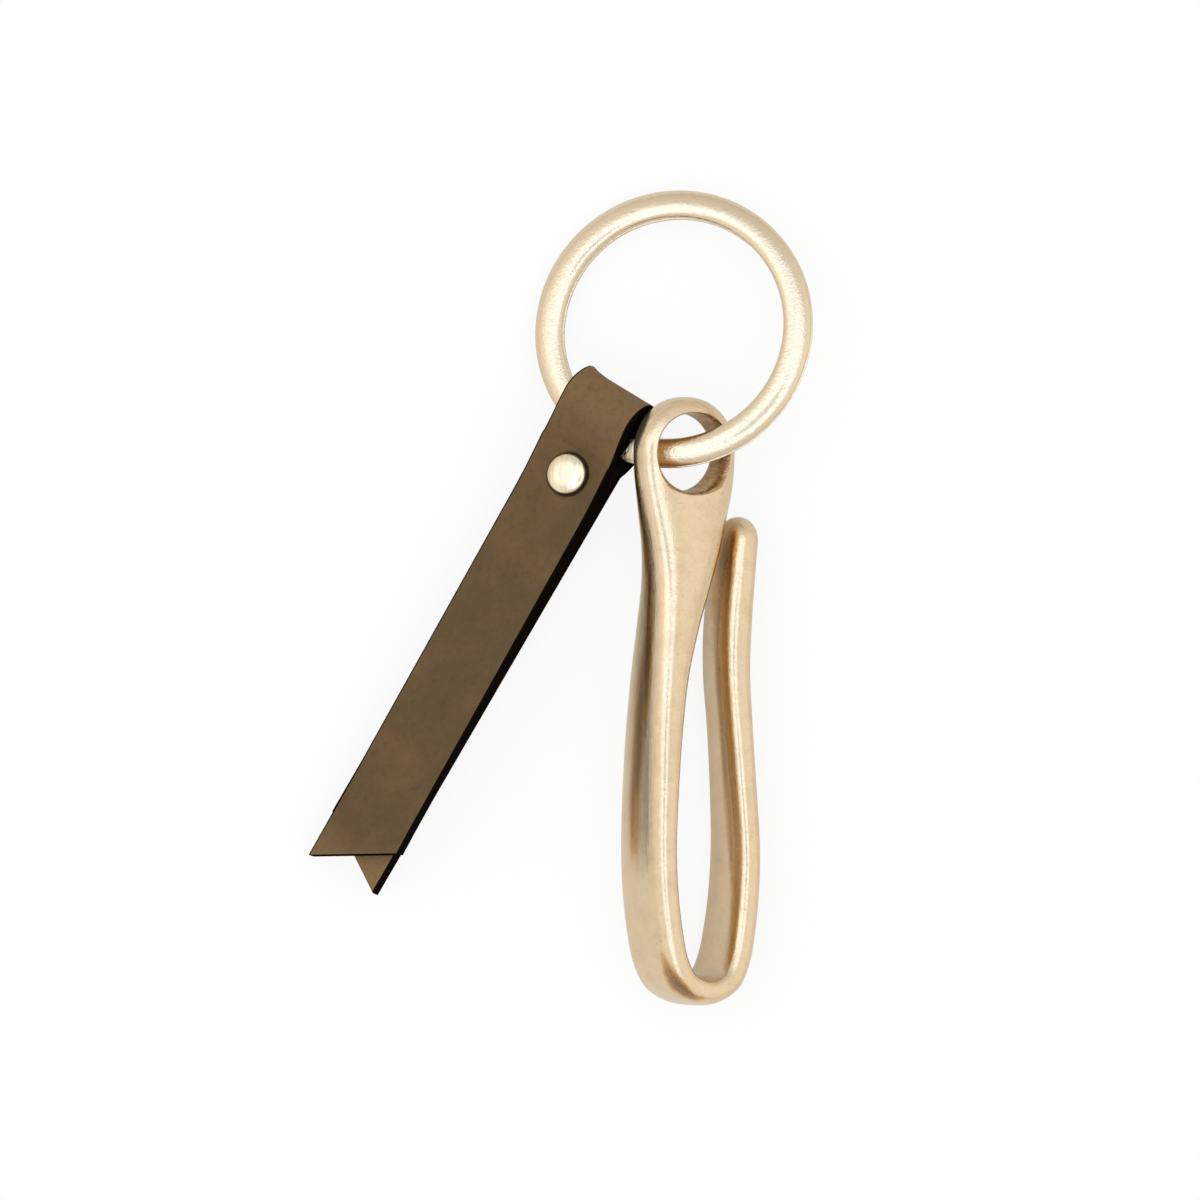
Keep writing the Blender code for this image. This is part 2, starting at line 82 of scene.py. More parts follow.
# Ring: how finely its wire is wound, and where its two turns change over
RING_STEPS_PER_TURN = 240
RING_SECTION_POINTS = 48
RING_END_STEPS = 4
RING_END_FLATNESS = 3
RING_START_DEG = -160.9
RING_CROWN_POWER = 2.0
RING_FLAT_POWER = 4.0
RING_FLAT_BULGE_SHARE = 0.14
RING_CROWN_INWARD_SHARE = 0.4

# Hook: each station holds along and across the hook, then its thickness and its depth, as shares
# of the length, of the spread of the arms, of the arm's thickness and of the arm's depth
HOOK_STATION_SHARES = (
    (0.000, 0.000, 3.75, 0.552),
    (-0.050, -0.004, 3.62, 0.560),
    (-0.100, -0.018, 3.25, 0.600),
    (-0.170, -0.047, 2.66, 0.672),
    (-0.240, -0.108, 2.10, 0.745),
    (-0.310, -0.192, 1.68, 0.820),
    (-0.400, -0.288, 1.34, 0.890),
    (-0.500, -0.355, 1.18, 0.945),
    (-0.610, -0.402, 1.06, 0.990),
    (-0.715, -0.424, 1.00, 1.000),
    (-0.800, -0.405, 1.00, 1.000),
    (-0.870, -0.355, 1.00, 1.000),
    (-0.920, -0.290, 0.99, 0.995),
    (-0.957, -0.165, 0.98, 0.990),
    (-0.974, 0.080, 0.97, 0.980),
    (-0.957, 0.315, 0.97, 0.960),
    (-0.920, 0.430, 0.97, 0.935),
    (-0.870, 0.496, 0.97, 0.910),
    (-0.800, 0.550, 0.97, 0.880),
    (-0.715, 0.574, 0.97, 0.845),
    (-0.610, 0.552, 0.98, 0.775),
    (-0.500, 0.516, 1.02, 0.730),
    (-0.400, 0.480, 1.07, 0.740),
    (-0.310, 0.496, 1.10, 0.750),
    (-0.220, 0.552, 1.05, 0.715),
    (-0.165, 0.600, 1.00, 0.660),
)
HOOK_EYE_AT = Vector((16.6978, 19.5858, 9.8603)) * MM
HOOK_TURN_DEG = (1.5072, 33.1707, 1.0622)
HOOK_STEPS_PER_STATION = 8
HOOK_SECTION_POINTS = 64
HOOK_SECTION_POWER = 3.2

# Hook: painted reflections and painted shade on its front, browned places where it mirrors the dark strap and
# its surroundings and amber where light bounces between its arms; each a line of points in millimetres on the
# table's plan, with half the width there and how brown it is
PAINTED_REFLECTION_MARK = "painted_reflection"
PAINTED_REFLECTION_LINES = (
    (
        (10.1, 19.7, 0.14, 0.50),
        (10.5, 13.2, 0.22, 0.95),
        (11.4, 7.8, 0.32, 1.00),
        (11.9, 2.4, 0.38, 1.00),
        (11.9, -0.3, 0.39, 1.00),
        (11.8, -5.7, 0.53, 1.00),
        (11.3, -11.1, 0.73, 0.95),
        (10.8, -16.6, 0.78, 0.90),
        (10.4, -22.0, 0.70, 0.85),
        (9.9, -27.4, 0.62, 0.80),
        (9.9, -32.8, 0.49, 0.75),
        (10.0, -37.6, 0.19, 0.50),
    ),
    (
        (13.7, -47.9, 0.32, 0.30),
        (14.5, -50.3, 0.68, 0.80),
        (15.6, -52.1, 0.92, 1.00),
        (16.8, -53.2, 0.70, 1.00),
        (18.0, -54.0, 0.41, 0.80),
        (19.3, -54.1, 0.27, 0.40),
    ),
    (
        (23.0, 10.2, 0.68, 0.40),
        (22.6, 8.4, 1.22, 0.55),
        (22.1, 5.1, 1.35, 0.60),
        (21.5, -0.3, 1.22, 0.58),
        (21.6, -5.7, 0.95, 0.55),
        (22.0, -11.1, 0.81, 0.55),
        (22.5, -17.9, 0.74, 0.55),
        (22.8, -23.3, 0.74, 0.55),
        (23.2, -28.7, 0.70, 0.55),
        (23.5, -35.5, 0.62, 0.50),
        (23.5, -40.9, 0.57, 0.50),
        (23.2, -46.3, 0.49, 0.45),
        (22.8, -49.5, 0.27, 0.40),
    ),
    (
        (22.4, 7.8, 0.54, 0.80),
        (22.0, 4.8, 0.68, 0.95),
        (21.6, 1.0, 0.54, 0.80),
        (21.1, -5.7, 0.34, 0.80),
        (21.4, -12.5, 0.41, 0.80),
        (21.9, -17.9, 0.41, 0.80),
        (22.3, -23.3, 0.43, 0.80),
        (22.8, -29.4, 0.41, 0.75),
        (23.1, -34.8, 0.38, 0.75),
        (23.2, -38.9, 0.22, 0.60),
    ),
)
# Painted amber shade of light bounced between the arms, and painted brown reflections of the dark strap and
# surroundings
PAINTED_AMBER_REFLECTION = (0.64, 0.37, 0.12)
PAINTED_BROWN_REFLECTION = (0.26, 0.14, 0.05)
# Speckles join in with this share, and each colour sets in over its span of the sum
PAINTED_REFLECTION_RAGGED_SHARE = 1.2
PAINTED_AMBER_SPAN = (0.8, 1.05)
PAINTED_BROWN_SPAN = (1.15, 1.5)
# A brown line is gone at this many half widths from its middle, and full one half width before that
PAINTED_REFLECTION_FADE_SHARE = 1.5

# Hook: how finely its eye and its tip are rounded, and the colours of the eye's wall
EYE_CROWN_STEPS = 18
EYE_HOLE_SEGMENTS = 128
EYE_RIM_STEPS = 14
TIP_STEPS = 14
EYE_WALL_BRASS = (0.68, 0.47, 0.26)
EYE_WALL_MARKS = (0.36, 0.20, 0.08)

# Strap: the loop's middle line over the wire and back under it, as shares of the fold's reach
# and of the rise from the flat layer
LOOP_FRONT_SHARES = (
    (0.58, 0.06),
    (0.51, 0.13),
    (0.36, 0.34),
    (0.18, 0.56),
    (0.00, 0.75),
    (-0.20, 0.90),
    (-0.44, 0.96),
    (-0.66, 0.82),
    (-0.85, 0.46),
    (-0.97, -0.02),
    (-1.00, -0.45),
)
LOOP_BACK_SHARES = (
    (-0.98, -0.30),
    (-0.92, 0.12),
    (-0.81, 0.50),
    (-0.65, 0.80),
    (-0.44, 0.96),
    (-0.20, 1.00),
    (0.06, 1.00),
    (0.27, 0.88),
    (0.44, 0.58),
    (0.56, 0.22),
    (0.62, 0.07),
)
# The loop leaves the flat over this length, and the fold's left corner flares out
LOOP_EASE = 0.7 * MM
LOOP_EASE_SHARE = 0.02
FOLD_FLARE = 0.5 * MM
FOLD_FLARE_POWER = 4
STRAP_WIRE_AT = Vector((5.0087, 22.5204, 7.1231)) * MM
STRAP_TURN_DEG = (22.2986, 2.9873, -120.1974)
LOOP_STEPS_PER_STATION = 6
TAIL_STEPS = 56
CUT_STEPS = 8
STRAP_FACE_COLUMNS = 28
STRAP_CORNER_STEPS = 4
STRAP_EDGE_COLUMNS = 6

# Strap: how far its edges lift beside the rivet, in millimetres from the wire and out of the front
EDGE_LIFTS = (
    (-1.0, 0.0),
    (1.0, 0.15),
    (2.1, 0.4),
    (3.0, 0.75),
    (3.8, 0.95),
    (4.7, 0.85),
    (6.5, 0.5),
    (8.0, 0.28),
    (9.5, 0.12),
    (12.0, 0.0),
)
EDGE_LIFT_FROM = 2.9 * MM
LAYER_SWELL = 0.32 * MM

# Wear of the leather along the strap: its span from the wire in millimetres, and how worn it is there
WEAR_SPAN = (-8.0, 72.0)
WEAR_STOPS = ((0.0, 0.75), (0.06, 0.6), (0.13, 0.15), (0.2, 0.0), (0.75, 0.0), (0.89, 0.03), (0.98, 0.75))
EDGE_FIBRES = (0.02, 0.014, 0.009)
# Where along the strap its inner side turns from painted shade, dark inside the loop and between the layers,
# to brown, in millimetres from the wire
FLESH_SHADE_SPAN = (20.0, 55.0)

# Painted shadow ring round the front cap, dark and also pressed in as a shallow dimple, in millimetres out
# from the cap's rim
SHADOW_RING_FROM = 0.12
SHADOW_RING_WIDTH = 0.42

# Rivet
RIVET_SEGMENTS = 96
CAP_DOME_STEPS = 20
CAP_DOME_POWER = 2.8
RIVET_STREAKS = (0.74, 0.62, 0.44)

# Brass: the gloss over it, and the darker pits of the ring
LACQUER_IOR = 2.0
LACQUER_ROUGHNESS = 0.06
RING_PITS = (0.48, 0.33, 0.17)

# Table: how much it glows by itself where the camera or the metal sees it, how the metal
# mirrors its colour, and the share of its colour that its clouds keep
TABLE_GLOW_SHARE = 0.88
MIRRORED_GLOW_SHARE = 0.2
MIRRORED_TABLE = (0.76, 0.70, 0.60)
TABLE_CLOUD_SHARE = 0.99

# Camera
VIEW_CENTRE = Vector((5.34, -0.34, 7.0)) * MM
SENSOR_WIDTH = 36.0

# World: brightness at heights from straight down (0) over the horizon (0.5) to straight up (1),
# how much brighter it is to the sides, and a soft lamp on the left
SKY_STOPS = (
    (0.0, (0.62, 0.55, 0.46)),
    (0.485, (0.62, 0.55, 0.46)),
    (0.5, (0.40, 0.29, 0.18)),
    (0.515, (0.70, 0.61, 0.49)),
    (0.58, (0.84, 0.77, 0.66)),
    (0.72, (0.90, 0.85, 0.77)),
    (0.80, (0.84, 0.80, 0.73)),
    (0.888, (0.84, 0.80, 0.73)),
    (0.905, (1.3, 1.36, 1.45)),
    (0.937, (1.35, 1.42, 1.55)),
    (0.940, (0.66, 0.48, 0.28)),
    (0.943, (1.45, 1.55, 1.7)),
    (0.9925, (1.45, 1.55, 1.7)),
    (0.9955, (0.3, 0.28, 0.26)),
)
SKY_SIDE_SHARE = 0.2
LAMP_TOWARDS = (-0.651, 0.276, 0.707)
LAMP_STOPS = ((0.0, 0.0), (0.955, 0.0), (0.975, 0.5), (1.0, 0.5))


class RingSizes(bpy.types.PropertyGroup):
    outer_diameter: FloatProperty(
        name="Outer diameter", description="Across the ring, outside the wire",
        default=38.2 * MM, unit="LENGTH",
    )
    wire_width: FloatProperty(
        name="Wire width", description="The wire's width, in the ring's plane",
        default=3.8 * MM, unit="LENGTH",
    )
    wire_thickness: FloatProperty(
        name="Wire thickness", description="The wire's thickness, through the ring",
        default=1.34 * MM, unit="LENGTH",
    )
    turn_gap: FloatProperty(
        name="Turn gap", description="Air between the two turns", default=0.44 * MM, unit="LENGTH"
    )
    ramp: FloatProperty(
        name="Ramp", description="Arc over which the wire drops to its second turn",
        default=math.radians(26.0),
        subtype="ANGLE",
    )
    colour: FloatVectorProperty(
        name="Colour", description="Plated brass of the ring",
        default=(0.80, 0.67, 0.49), subtype="COLOR", size=3,
    )


class HookSizes(bpy.types.PropertyGroup):
    length: FloatProperty(
        name="Length", description="From the eye's middle to the bend", default=74.7 * MM, unit="LENGTH"
    )
    spread: FloatProperty(
        name="Spread", description="Between the middles of the two arms", default=14.0 * MM, unit="LENGTH"
    )
    arm_thickness: FloatProperty(
        name="Arm thickness", description="Thickness of the long arm", default=4.0 * MM, unit="LENGTH"
    )
    arm_depth: FloatProperty(
        name="Arm depth", description="Depth of the long arm", default=10.7 * MM, unit="LENGTH"
    )
    eye_radius: FloatProperty(
        name="Eye radius", description="Outside of the eye", default=7.5 * MM, unit="LENGTH"
    )
    hole_radius: FloatProperty(
        name="Hole radius", description="The eye's hole, at its waist", default=5.2 * MM, unit="LENGTH"
    )
    eye_depth: FloatProperty(
        name="Eye depth", description="Depth of the hole's rounded wall", default=5.6 * MM, unit="LENGTH"
    )
    rim_rounding: FloatProperty(
        name="Rim rounding", description="Radius of the hole's rounded rim", default=2.0 * MM, unit="LENGTH"
    )
    web_share: FloatProperty(
        name="Rim at the web", description="Share of the rim's rounding where the hole meets the web",
        default=0.3,
        subtype="FACTOR",
    )
    colour: FloatVectorProperty(
        name="Colour", description="Cast brass", default=(0.80, 0.645, 0.44), subtype="COLOR", size=3
    )
    stain_colour: FloatVectorProperty(
        name="Stain", description="Darker brass in the casting's pits", default=(0.45, 0.29, 0.13),
        subtype="COLOR", size=3,
    )


class StrapSizes(bpy.types.PropertyGroup):
    width: FloatProperty(name="Width", description="Width of the leather", default=11.3 * MM, unit="LENGTH")
    fold_width: FloatProperty(
        name="Fold width", description="Width of the leather at its fold", default=10.7 * MM, unit="LENGTH"
    )
    thickness: FloatProperty(
        name="Thickness", description="Thickness of the leather", default=1.7 * MM, unit="LENGTH"
    )
    edge_rounding: FloatProperty(
        name="Edge rounding", description="Radius of the burnished corners",
        default=0.25 * MM, unit="LENGTH",
    )
    layer_gap: FloatProperty(
        name="Layer gap", description="Air between the two layers", default=0.8 * MM, unit="LENGTH"
    )
    tail_length: FloatProperty(
        name="Tail length", description="From the wire to the longest tip", default=69.3 * MM, unit="LENGTH"
    )
    cut_rise: FloatProperty(
        name="Cut rise", description="How far the slanted end runs along the strap",
        default=6.6 * MM, unit="LENGTH",
    )
    front_yaw: FloatProperty(
        name="Front layer's turn", description="How far the front layer is turned about the rivet",
        default=math.radians(1.1), subtype="ANGLE",
    )
    fold_reach: FloatProperty(
        name="Fold reach", description="From the wire to the fold", default=5.9 * MM, unit="LENGTH"
    )
    front_rise: FloatProperty(
        name="Front rise", description="How far the loop bulges over the wire",
        default=2.52 * MM, unit="LENGTH",
    )
    back_rise: FloatProperty(
        name="Back rise", description="How far the loop bulges under the wire",
        default=1.78 * MM, unit="LENGTH",
    )
    above_wire: FloatProperty(
        name="Above the wire", description="Height of the layers' gap over the wire's middle",
        default=0.15 * MM,
        unit="LENGTH",
    )
    loop_start: FloatProperty(
        name="Loop start", description="Where the layers leave the flat", default=4.0 * MM, unit="LENGTH"
    )
    face_colour: FloatVectorProperty(
        name="Face", description="Olive brown leather",
        default=(0.116, 0.072, 0.033), subtype="COLOR", size=3,
    )
    worn_colour: FloatVectorProperty(
        name="Worn", description="Lighter leather at the fold and the tips", default=(0.24, 0.148, 0.067),
        subtype="COLOR", size=3,
    )
    edge_colour: FloatVectorProperty(
        name="Edge", description="Black edge dye", default=(0.005, 0.004, 0.003), subtype="COLOR", size=3
    )


class RivetSizes(bpy.types.PropertyGroup):
    reach: FloatProperty(
        name="Reach", description="From the wire to the rivet", default=7.0 * MM, unit="LENGTH"
    )
    side: FloatProperty(
        name="Side", description="From the strap's middle line to the rivet",
        default=0.4 * MM, unit="LENGTH",
    )
    cap_diameter: FloatProperty(
        name="Cap diameter", description="Across the domed caps", default=5.54 * MM, unit="LENGTH"
    )
    cap_height: FloatProperty(
        name="Cap height", description="From the leather to the dome's top",
        default=1.33 * MM, unit="LENGTH",
    )
    skirt: FloatProperty(
        name="Skirt", description="Straight wall below the dome", default=0.5 * MM, unit="LENGTH"
    )
    wall: FloatProperty(name="Wall", description="Thickness of the cap", default=0.38 * MM, unit="LENGTH")
    bore: FloatProperty(
        name="Hole", description="Hole through both layers", default=3.6 * MM, unit="LENGTH"
    )
    colour: FloatVectorProperty(
        name="Colour", description="Polished brass of the rivet",
        default=(0.90, 0.82, 0.66), subtype="COLOR", size=3,
    )


class StudioSizes(bpy.types.PropertyGroup):
    view_width: FloatProperty(
        name="View width", description="Width of the camera's view", default=162.16 * MM, unit="LENGTH"
    )
    view_height: FloatProperty(
        name="View height", description="How far above the table the camera stands",
        default=3.0, unit="LENGTH",
    )
    table_size: FloatProperty(name="Table size", description="Side of the table", default=8.0, unit="LENGTH")
    table_colour: FloatVectorProperty(
        name="Table", description="White table", default=(0.93, 0.93, 0.93), subtype="COLOR", size=3
    )


# Meshes


def rounded_box(half_width, half_depth, power, count):
    """Points of a rounded rectangle, counter-clockwise from +u."""
    angles = np.linspace(0, 2 * math.pi, count, endpoint=False)
    c = np.cos(angles)
    s = np.sin(angles)
    u = np.sign(c) * np.abs(c) ** (2 / power)
    v = np.sign(s) * np.abs(s) ** (2 / power)
    return half_width * u, half_depth * v


def spline(rows, steps):
    """A smooth curve through rows of numbers, steps to each span."""
    rows = np.array(rows, float)
    padded = np.vstack([2 * rows[0] - rows[1], rows, 2 * rows[-1] - rows[-2]])
    shares = np.arange(steps) / steps
    out = []
    for i in range(1, len(padded) - 2):
        a, b, c, d = padded[i - 1 : i + 3]
        for t in shares:
            bent = (2 * a - 5 * b + 4 * c - d) * t**2
            twice = 2 * b + (c - a) * t + bent + (3 * b - a - 3 * c + d) * t**3
            out.append(twice / 2)
    out.append(rows[-1])
    return np.array(out)


def smooth_step(t):
    t = min(max(t, 0.0), 1.0)
    return t * t * (3 - 2 * t)


def loft(loops, materials=(0,)):
    """A bmesh skin over loops of points with flat ends.

    materials holds one index for each point of a loop, and is repeated where it is shorter.
    """
    bm = bmesh.new()
    rings = [[bm.verts.new(point) for point in loop] for loop in loops]
    count = len(rings[0])
    for first, second in zip(rings, rings[1:]):
        for i in range(count):
            j = (i + 1) % count
            face = bm.faces.new((first[i], first[j], second[j], second[i]))
            face.material_index = materials[i % len(materials)]
    for end in (list(reversed(rings[0])), rings[-1]):
        bm.faces.new(end).material_index = min(1, max(materials))
    return bm


def turned(profile, segments):
    """A bmesh turned about Z from a profile of (radius, height); radius 0 is a pole."""
    bm = bmesh.new()
    rings = []
    for radius, height in profile:
        if radius == 0:
            rings.append([bm.verts.new((0, 0, height))])
            continue
        ring = []
        for i in range(segments):
            angle = 2 * math.pi * i / segments
            ring.append(bm.verts.new((radius * math.cos(angle), radius * math.sin(angle), height)))
        rings.append(ring)
    for first, second in zip(rings, rings[1:]):
        for i in range(segments):
            corners = [first[i % len(first)], first[(i + 1) % len(first)]]
            corners += [second[(i + 1) % len(second)], second[i % len(second)]]
            bm.faces.new(list(dict.fromkeys(corners)))
    return bm


def shade(mesh):
    """Shades a mesh smooth, apart from its sharp edges."""
    mesh.shade_smooth()
    mesh.set_sharp_from_angle(angle=math.radians(SHARP_EDGE_DEG))


def piece(name, bm, finishes, place):
    """A named object from a bmesh, shaded smooth, its points moved to its place."""
    bmesh.ops.recalc_face_normals(bm, faces=bm.faces)
    mesh = bpy.data.meshes.new(name)
    bm.transform(place)
    bm.to_mesh(mesh)
    bm.free()
    for finish in finishes:
        mesh.materials.append(finish)
    shade(mesh)
    made = bpy.data.objects.new(name, mesh)
    bpy.context.scene.collection.objects.link(made)
    return made


def cut(made, bm, place):
    """Cuts a bmesh's shape out of a piece."""
    tool = piece("cutter", bm, [], place)
    boolean = made.modifiers.new("cut", "BOOLEAN")
    boolean.operation = "DIFFERENCE"
    boolean.solver = "EXACT"
    boolean.object = tool
    bpy.context.view_layer.update()
    graph = bpy.context.evaluated_depsgraph_get()
    mesh = bpy.data.meshes.new_from_object(made.evaluated_get(graph))
    made.modifiers.remove(boolean)
    made.data = mesh
    bpy.data.objects.remove(tool, do_unlink=True)
    shade(mesh)


def mark_painted_reflections(made):
    """Stores on each vertex of the hook's front how brown its painted reflection or painted shade is, from 0
    to 1.
    """
    mesh = made.data
    points = np.array([vertex.co for vertex in mesh.vertices])[:, :2] / MM
    front = np.array([vertex.normal.z > 0 for vertex in mesh.vertices])
    brown = np.zeros(len(points))
    for line in PAINTED_REFLECTION_LINES:
        rows = np.array(line)
        for start, end in zip(rows, rows[1:]):
            step = end[:2] - start[:2]
            share = np.clip((points - start[:2]) @ step / (step @ step), 0, 1)
            away = np.linalg.norm(points - start[:2] - share[:, None] * step, axis=1)
            half = start[2] + share * (end[2] - start[2])
            depth = start[3] + share * (end[3] - start[3])
            fall = np.clip(PAINTED_REFLECTION_FADE_SHARE - away / half, 0, 1)
            brown = np.maximum(brown, depth * fall * front)
    mark = mesh.attributes.new(PAINTED_REFLECTION_MARK, "FLOAT", "POINT")
    mark.data.foreach_set("value", brown)


def turn_matrix(degrees):
    return Euler([math.radians(d) for d in degrees], "XYZ").to_matrix().to_4x4()


# Places


def ring_place():
    """The ring's own axes: Z along its axis, X level."""
    joint = frame["joints"][0]
    out = Vector(joint["axis"]).normalized()
    level = out.cross(Vector((0, 0, 1))).normalized()
    turn = Matrix((level, out.cross(level), out)).transposed().to_4x4()
    return Matrix.Translation(joint["pos_m"]) @ turn


def hook_place():
    return Matrix.Translation(HOOK_EYE_AT) @ turn_matrix(HOOK_TURN_DEG)


def strap_place():
    return Matrix.Translation(STRAP_WIRE_AT) @ turn_matrix(STRAP_TURN_DEG)


# Ring


def ring_side(sizes, upper):
    """Half of the wire's section with its rise and roundness, from flat at 0 to crowned at 1."""
    rise = sizes.wire_thickness * (RING_FLAT_BULGE_SHARE + (1 - 2 * RING_FLAT_BULGE_SHARE) * upper)
    power = RING_FLAT_POWER + (RING_CROWN_POWER - RING_FLAT_POWER) * upper
    u, v = rounded_box(sizes.wire_width / 2, rise, power, RING_SECTION_POINTS)
    return np.column_stack((u, v))


def ring_wire_loop(sizes, run_deg, size_share):
    """One section of the half-round wire; a size share under 1 draws its rounded end."""
    ramp_deg = math.degrees(sizes.ramp)
    upper = 1 - smooth_step((run_deg - TURN_DEG + ramp_deg) / ramp_deg)
    half = RING_SECTION_POINTS // 2
    section = np.vstack((ring_side(sizes, upper)[:half], ring_side(sizes, 1 - upper)[half:])) * size_share
    widest = sizes.turn_gap / 2 + sizes.wire_thickness * RING_FLAT_BULGE_SHARE
    height = widest * (2 * upper - 1) + section[:, 1]
    inward = RING_CROWN_INWARD_SHARE * np.abs(section[:, 1])
    out = (sizes.outer_diameter - sizes.wire_width) / 2 + section[:, 0] - inward
    angle = math.radians(RING_START_DEG + run_deg)
    return np.column_stack((out * math.cos(angle), out * math.sin(angle), height))


def ring_loops(sizes):
    """Sections of the wire over both turns, with a rounded end at each."""
    total = 2 * TURN_DEG - math.degrees(sizes.ramp)
    count = round(total * RING_STEPS_PER_TURN / TURN_DEG)
    rounding_deg = math.degrees(sizes.wire_thickness / sizes.outer_diameter)
    ends = []
    for i in range(RING_END_STEPS):
        share = math.sin(math.pi / 2 * (i + END_STEP_SHARE) / RING_END_STEPS)
        ends.append((rounding_deg * (1 - math.sqrt(1 - share**2)) / 2, 1 - (1 - share) / RING_END_FLATNESS))
    ends.sort()
    runs = list(ends)
    runs += [(total * i / count, 1.0) for i in range(1, count)]
    runs += [(total - run, share) for run, share in reversed(ends)]
    return [ring_wire_loop(sizes, run, share) for run, share in runs]


# Hook


def hook_section(x, y, tangent, half_thick, half_deep):
    """One section of the hook, square to its tangent."""
    u, v = rounded_box(half_thick, half_deep, HOOK_SECTION_POWER, HOOK_SECTION_POINTS)
    return np.column_stack((x - tangent[1] * u, y + tangent[0] * u, v))


def hook_stations(sizes):
    rows = [
        (
            across * sizes.spread,
            along * sizes.length,
            thick * sizes.arm_thickness / 2,
            deep * sizes.arm_depth / 2,
        )
        for along, across, thick, deep in HOOK_STATION_SHARES
    ]
    return spline(rows, HOOK_STEPS_PER_STATION)


def hook_loops(sizes):
    """Sections of the hook: over the eye's crown, along its stations and round its tip."""
    stations = hook_stations(sizes)
    tangents = np.gradient(stations[:, :2], axis=0)
    tangents /= np.linalg.norm(tangents, axis=1)[:, None]
    down = (0, -1)
    tangents[0] = down
    loops = []
    _, _, half_thick, half_deep = stations[0]
    for i in range(EYE_CROWN_STEPS, 0, -1):
        rise = math.sin(math.pi / 2 * i / (EYE_CROWN_STEPS + END_STEP_SHARE))
        side = math.sqrt(1 - rise**2)
        deep = (1 - rise**HOOK_SECTION_POWER) ** (1 / HOOK_SECTION_POWER)
        loops.append(hook_section(0, sizes.eye_radius * rise, down, half_thick * side, half_deep * deep))
    for (x, y, half_thick, half_deep), tangent in zip(stations, tangents):
        loops.append(hook_section(x, y, tangent, half_thick, half_deep))
    for i in range(1, TIP_STEPS + 1):
        share = math.sin(math.pi / 2 * i / (TIP_STEPS + END_STEP_SHARE))
        left = math.sqrt(1 - share**2)
        reach = half_deep * share
        x1 = x + tangent[0] * reach
        y1 = y + tangent[1] * reach
        loops.append(hook_section(x1, y1, tangent, half_thick * left, half_deep * left))
    return loops


def eye_hole(sizes):
    """The hole's rounded wall as a cutter."""
    start = sizes.eye_depth / 2 - sizes.rim_rounding
    half = [(0, start)]
    for i in range(1, EYE_RIM_STEPS + 1):
        angle = math.pi / 2 * i / EYE_RIM_STEPS
        flare = sizes.rim_rounding * (1 - math.cos(angle))
        half.append((flare, start + sizes.rim_rounding * math.sin(angle)))
    half.append((sizes.rim_rounding, sizes.eye_depth))
    loops = []
    for flare, height in [(f, -z) for f, z in reversed(half)] + half:
        u, v = rounded_box(
            sizes.hole_radius + flare, sizes.hole_radius + flare * sizes.web_share, 2, EYE_HOLE_SEGMENTS
        )
        loops.append(np.column_stack((u, v, np.full(len(u), height))))
    return loft(loops, (1,))


# Strap


def layer_heights(sizes):
    half = (sizes.layer_gap + sizes.thickness) / 2
    return sizes.above_wire + half, sizes.above_wire - half


def strap_width(sizes, reach):
    """Width of the strap at a place along it: it narrows towards the fold."""
    narrow = smooth_step((sizes.loop_start - reach) / (sizes.loop_start + sizes.fold_reach))
    return sizes.width + (sizes.fold_width - sizes.width) * narrow


def strap_section(sizes, reach):
    """Points of the strap's section, across and through, with the finish of the face after each."""
    r = sizes.edge_rounding
    w = strap_width(sizes, reach) / 2
    t = sizes.thickness / 2
    sides = ((1, 1, 0), (-1, 1, 1), (-1, -1, 2), (1, -1, 1))
    corners = []
    for corner, (sx, sz, _) in enumerate(sides):
        angles = [math.pi / 2 * (corner + k / STRAP_CORNER_STEPS) for k in range(STRAP_CORNER_STEPS + 1)]
        corners.append([(sx * (w - r) + r * math.cos(a), sz * (t - r) + r * math.sin(a)) for a in angles])
    points = []
    for corner, (_, _, finish) in enumerate(sides):
        here = corners[corner]
        goal = corners[(corner + 1) % 4][0]
        points += [(across, through, 1) for across, through in here[:-1]]
        columns = STRAP_FACE_COLUMNS if corner % 2 == 0 else STRAP_EDGE_COLUMNS
        for k in range(columns):
            s = k / columns
            across = here[-1][0] + (goal[0] - here[-1][0]) * s
            points.append((across, here[-1][1] + (goal[1] - here[-1][1]) * s, finish))
    return points


def edge_lift(sizes, lifts, reach, across):
    """How far a point of the front layer lifts beside the rivet."""
    half = strap_width(sizes, reach) / 2
    off = smooth_step((abs(across) - EDGE_LIFT_FROM) / (half - EDGE_LIFT_FROM))
    return off * np.interp(reach / MM, lifts[:, 0], lifts[:, 1]) * MM


def flat_end(sizes):
    """How far from the wire the flat layers end."""
    return sizes.loop_start + LOOP_EASE


def layer_swell(sizes, reach):
    """How far the inner side of a flat layer swells towards the other one."""
    return LAYER_SWELL * smooth_step((reach - flat_end(sizes)) / sizes.loop_start)


def loop_middle_line(sizes):
    """Middle line of the loop, over the wire and back under it: reach and height."""
    front, back = layer_heights(sizes)
    start = sizes.loop_start / sizes.fold_reach
    eased = (start, LOOP_EASE_SHARE)
    over = [(r * sizes.fold_reach, front + h * sizes.front_rise) for r, h in (eased, *LOOP_FRONT_SHARES)]
    under = [(r * sizes.fold_reach, back - h * sizes.back_rise) for r, h in (*LOOP_BACK_SHARES, eased)]
    end = flat_end(sizes)
    return spline([(end, front), *over, *under, (end, back)], LOOP_STEPS_PER_STATION)


def loop_lift(sizes, reach, height):
    """How far, from 0 to 1, the loop follows the wire: not on the flat layers, nor at the fold."""
    front, back = layer_heights(sizes)
    if height > sizes.above_wire:
        rise = smooth_step((height - front) / sizes.front_rise)
    else:
        rise = smooth_step((back - height) / sizes.back_rise)
    return rise * (1 - smooth_step(-reach / sizes.fold_reach))


def wire_in_strap():
    """How far the wire runs to the tips and out of the front for each step across, and its bow."""
    ring = ring_place()
    place = strap_place()
    out = ring.inverted() @ place.translation
    along = ring.to_3x3() @ Vector((-out.y, out.x, 0))
    along = place.to_3x3().inverted() @ along
    return along.x / along.y, along.z / along.y, 1 / (2 * math.hypot(out.x, out.y))


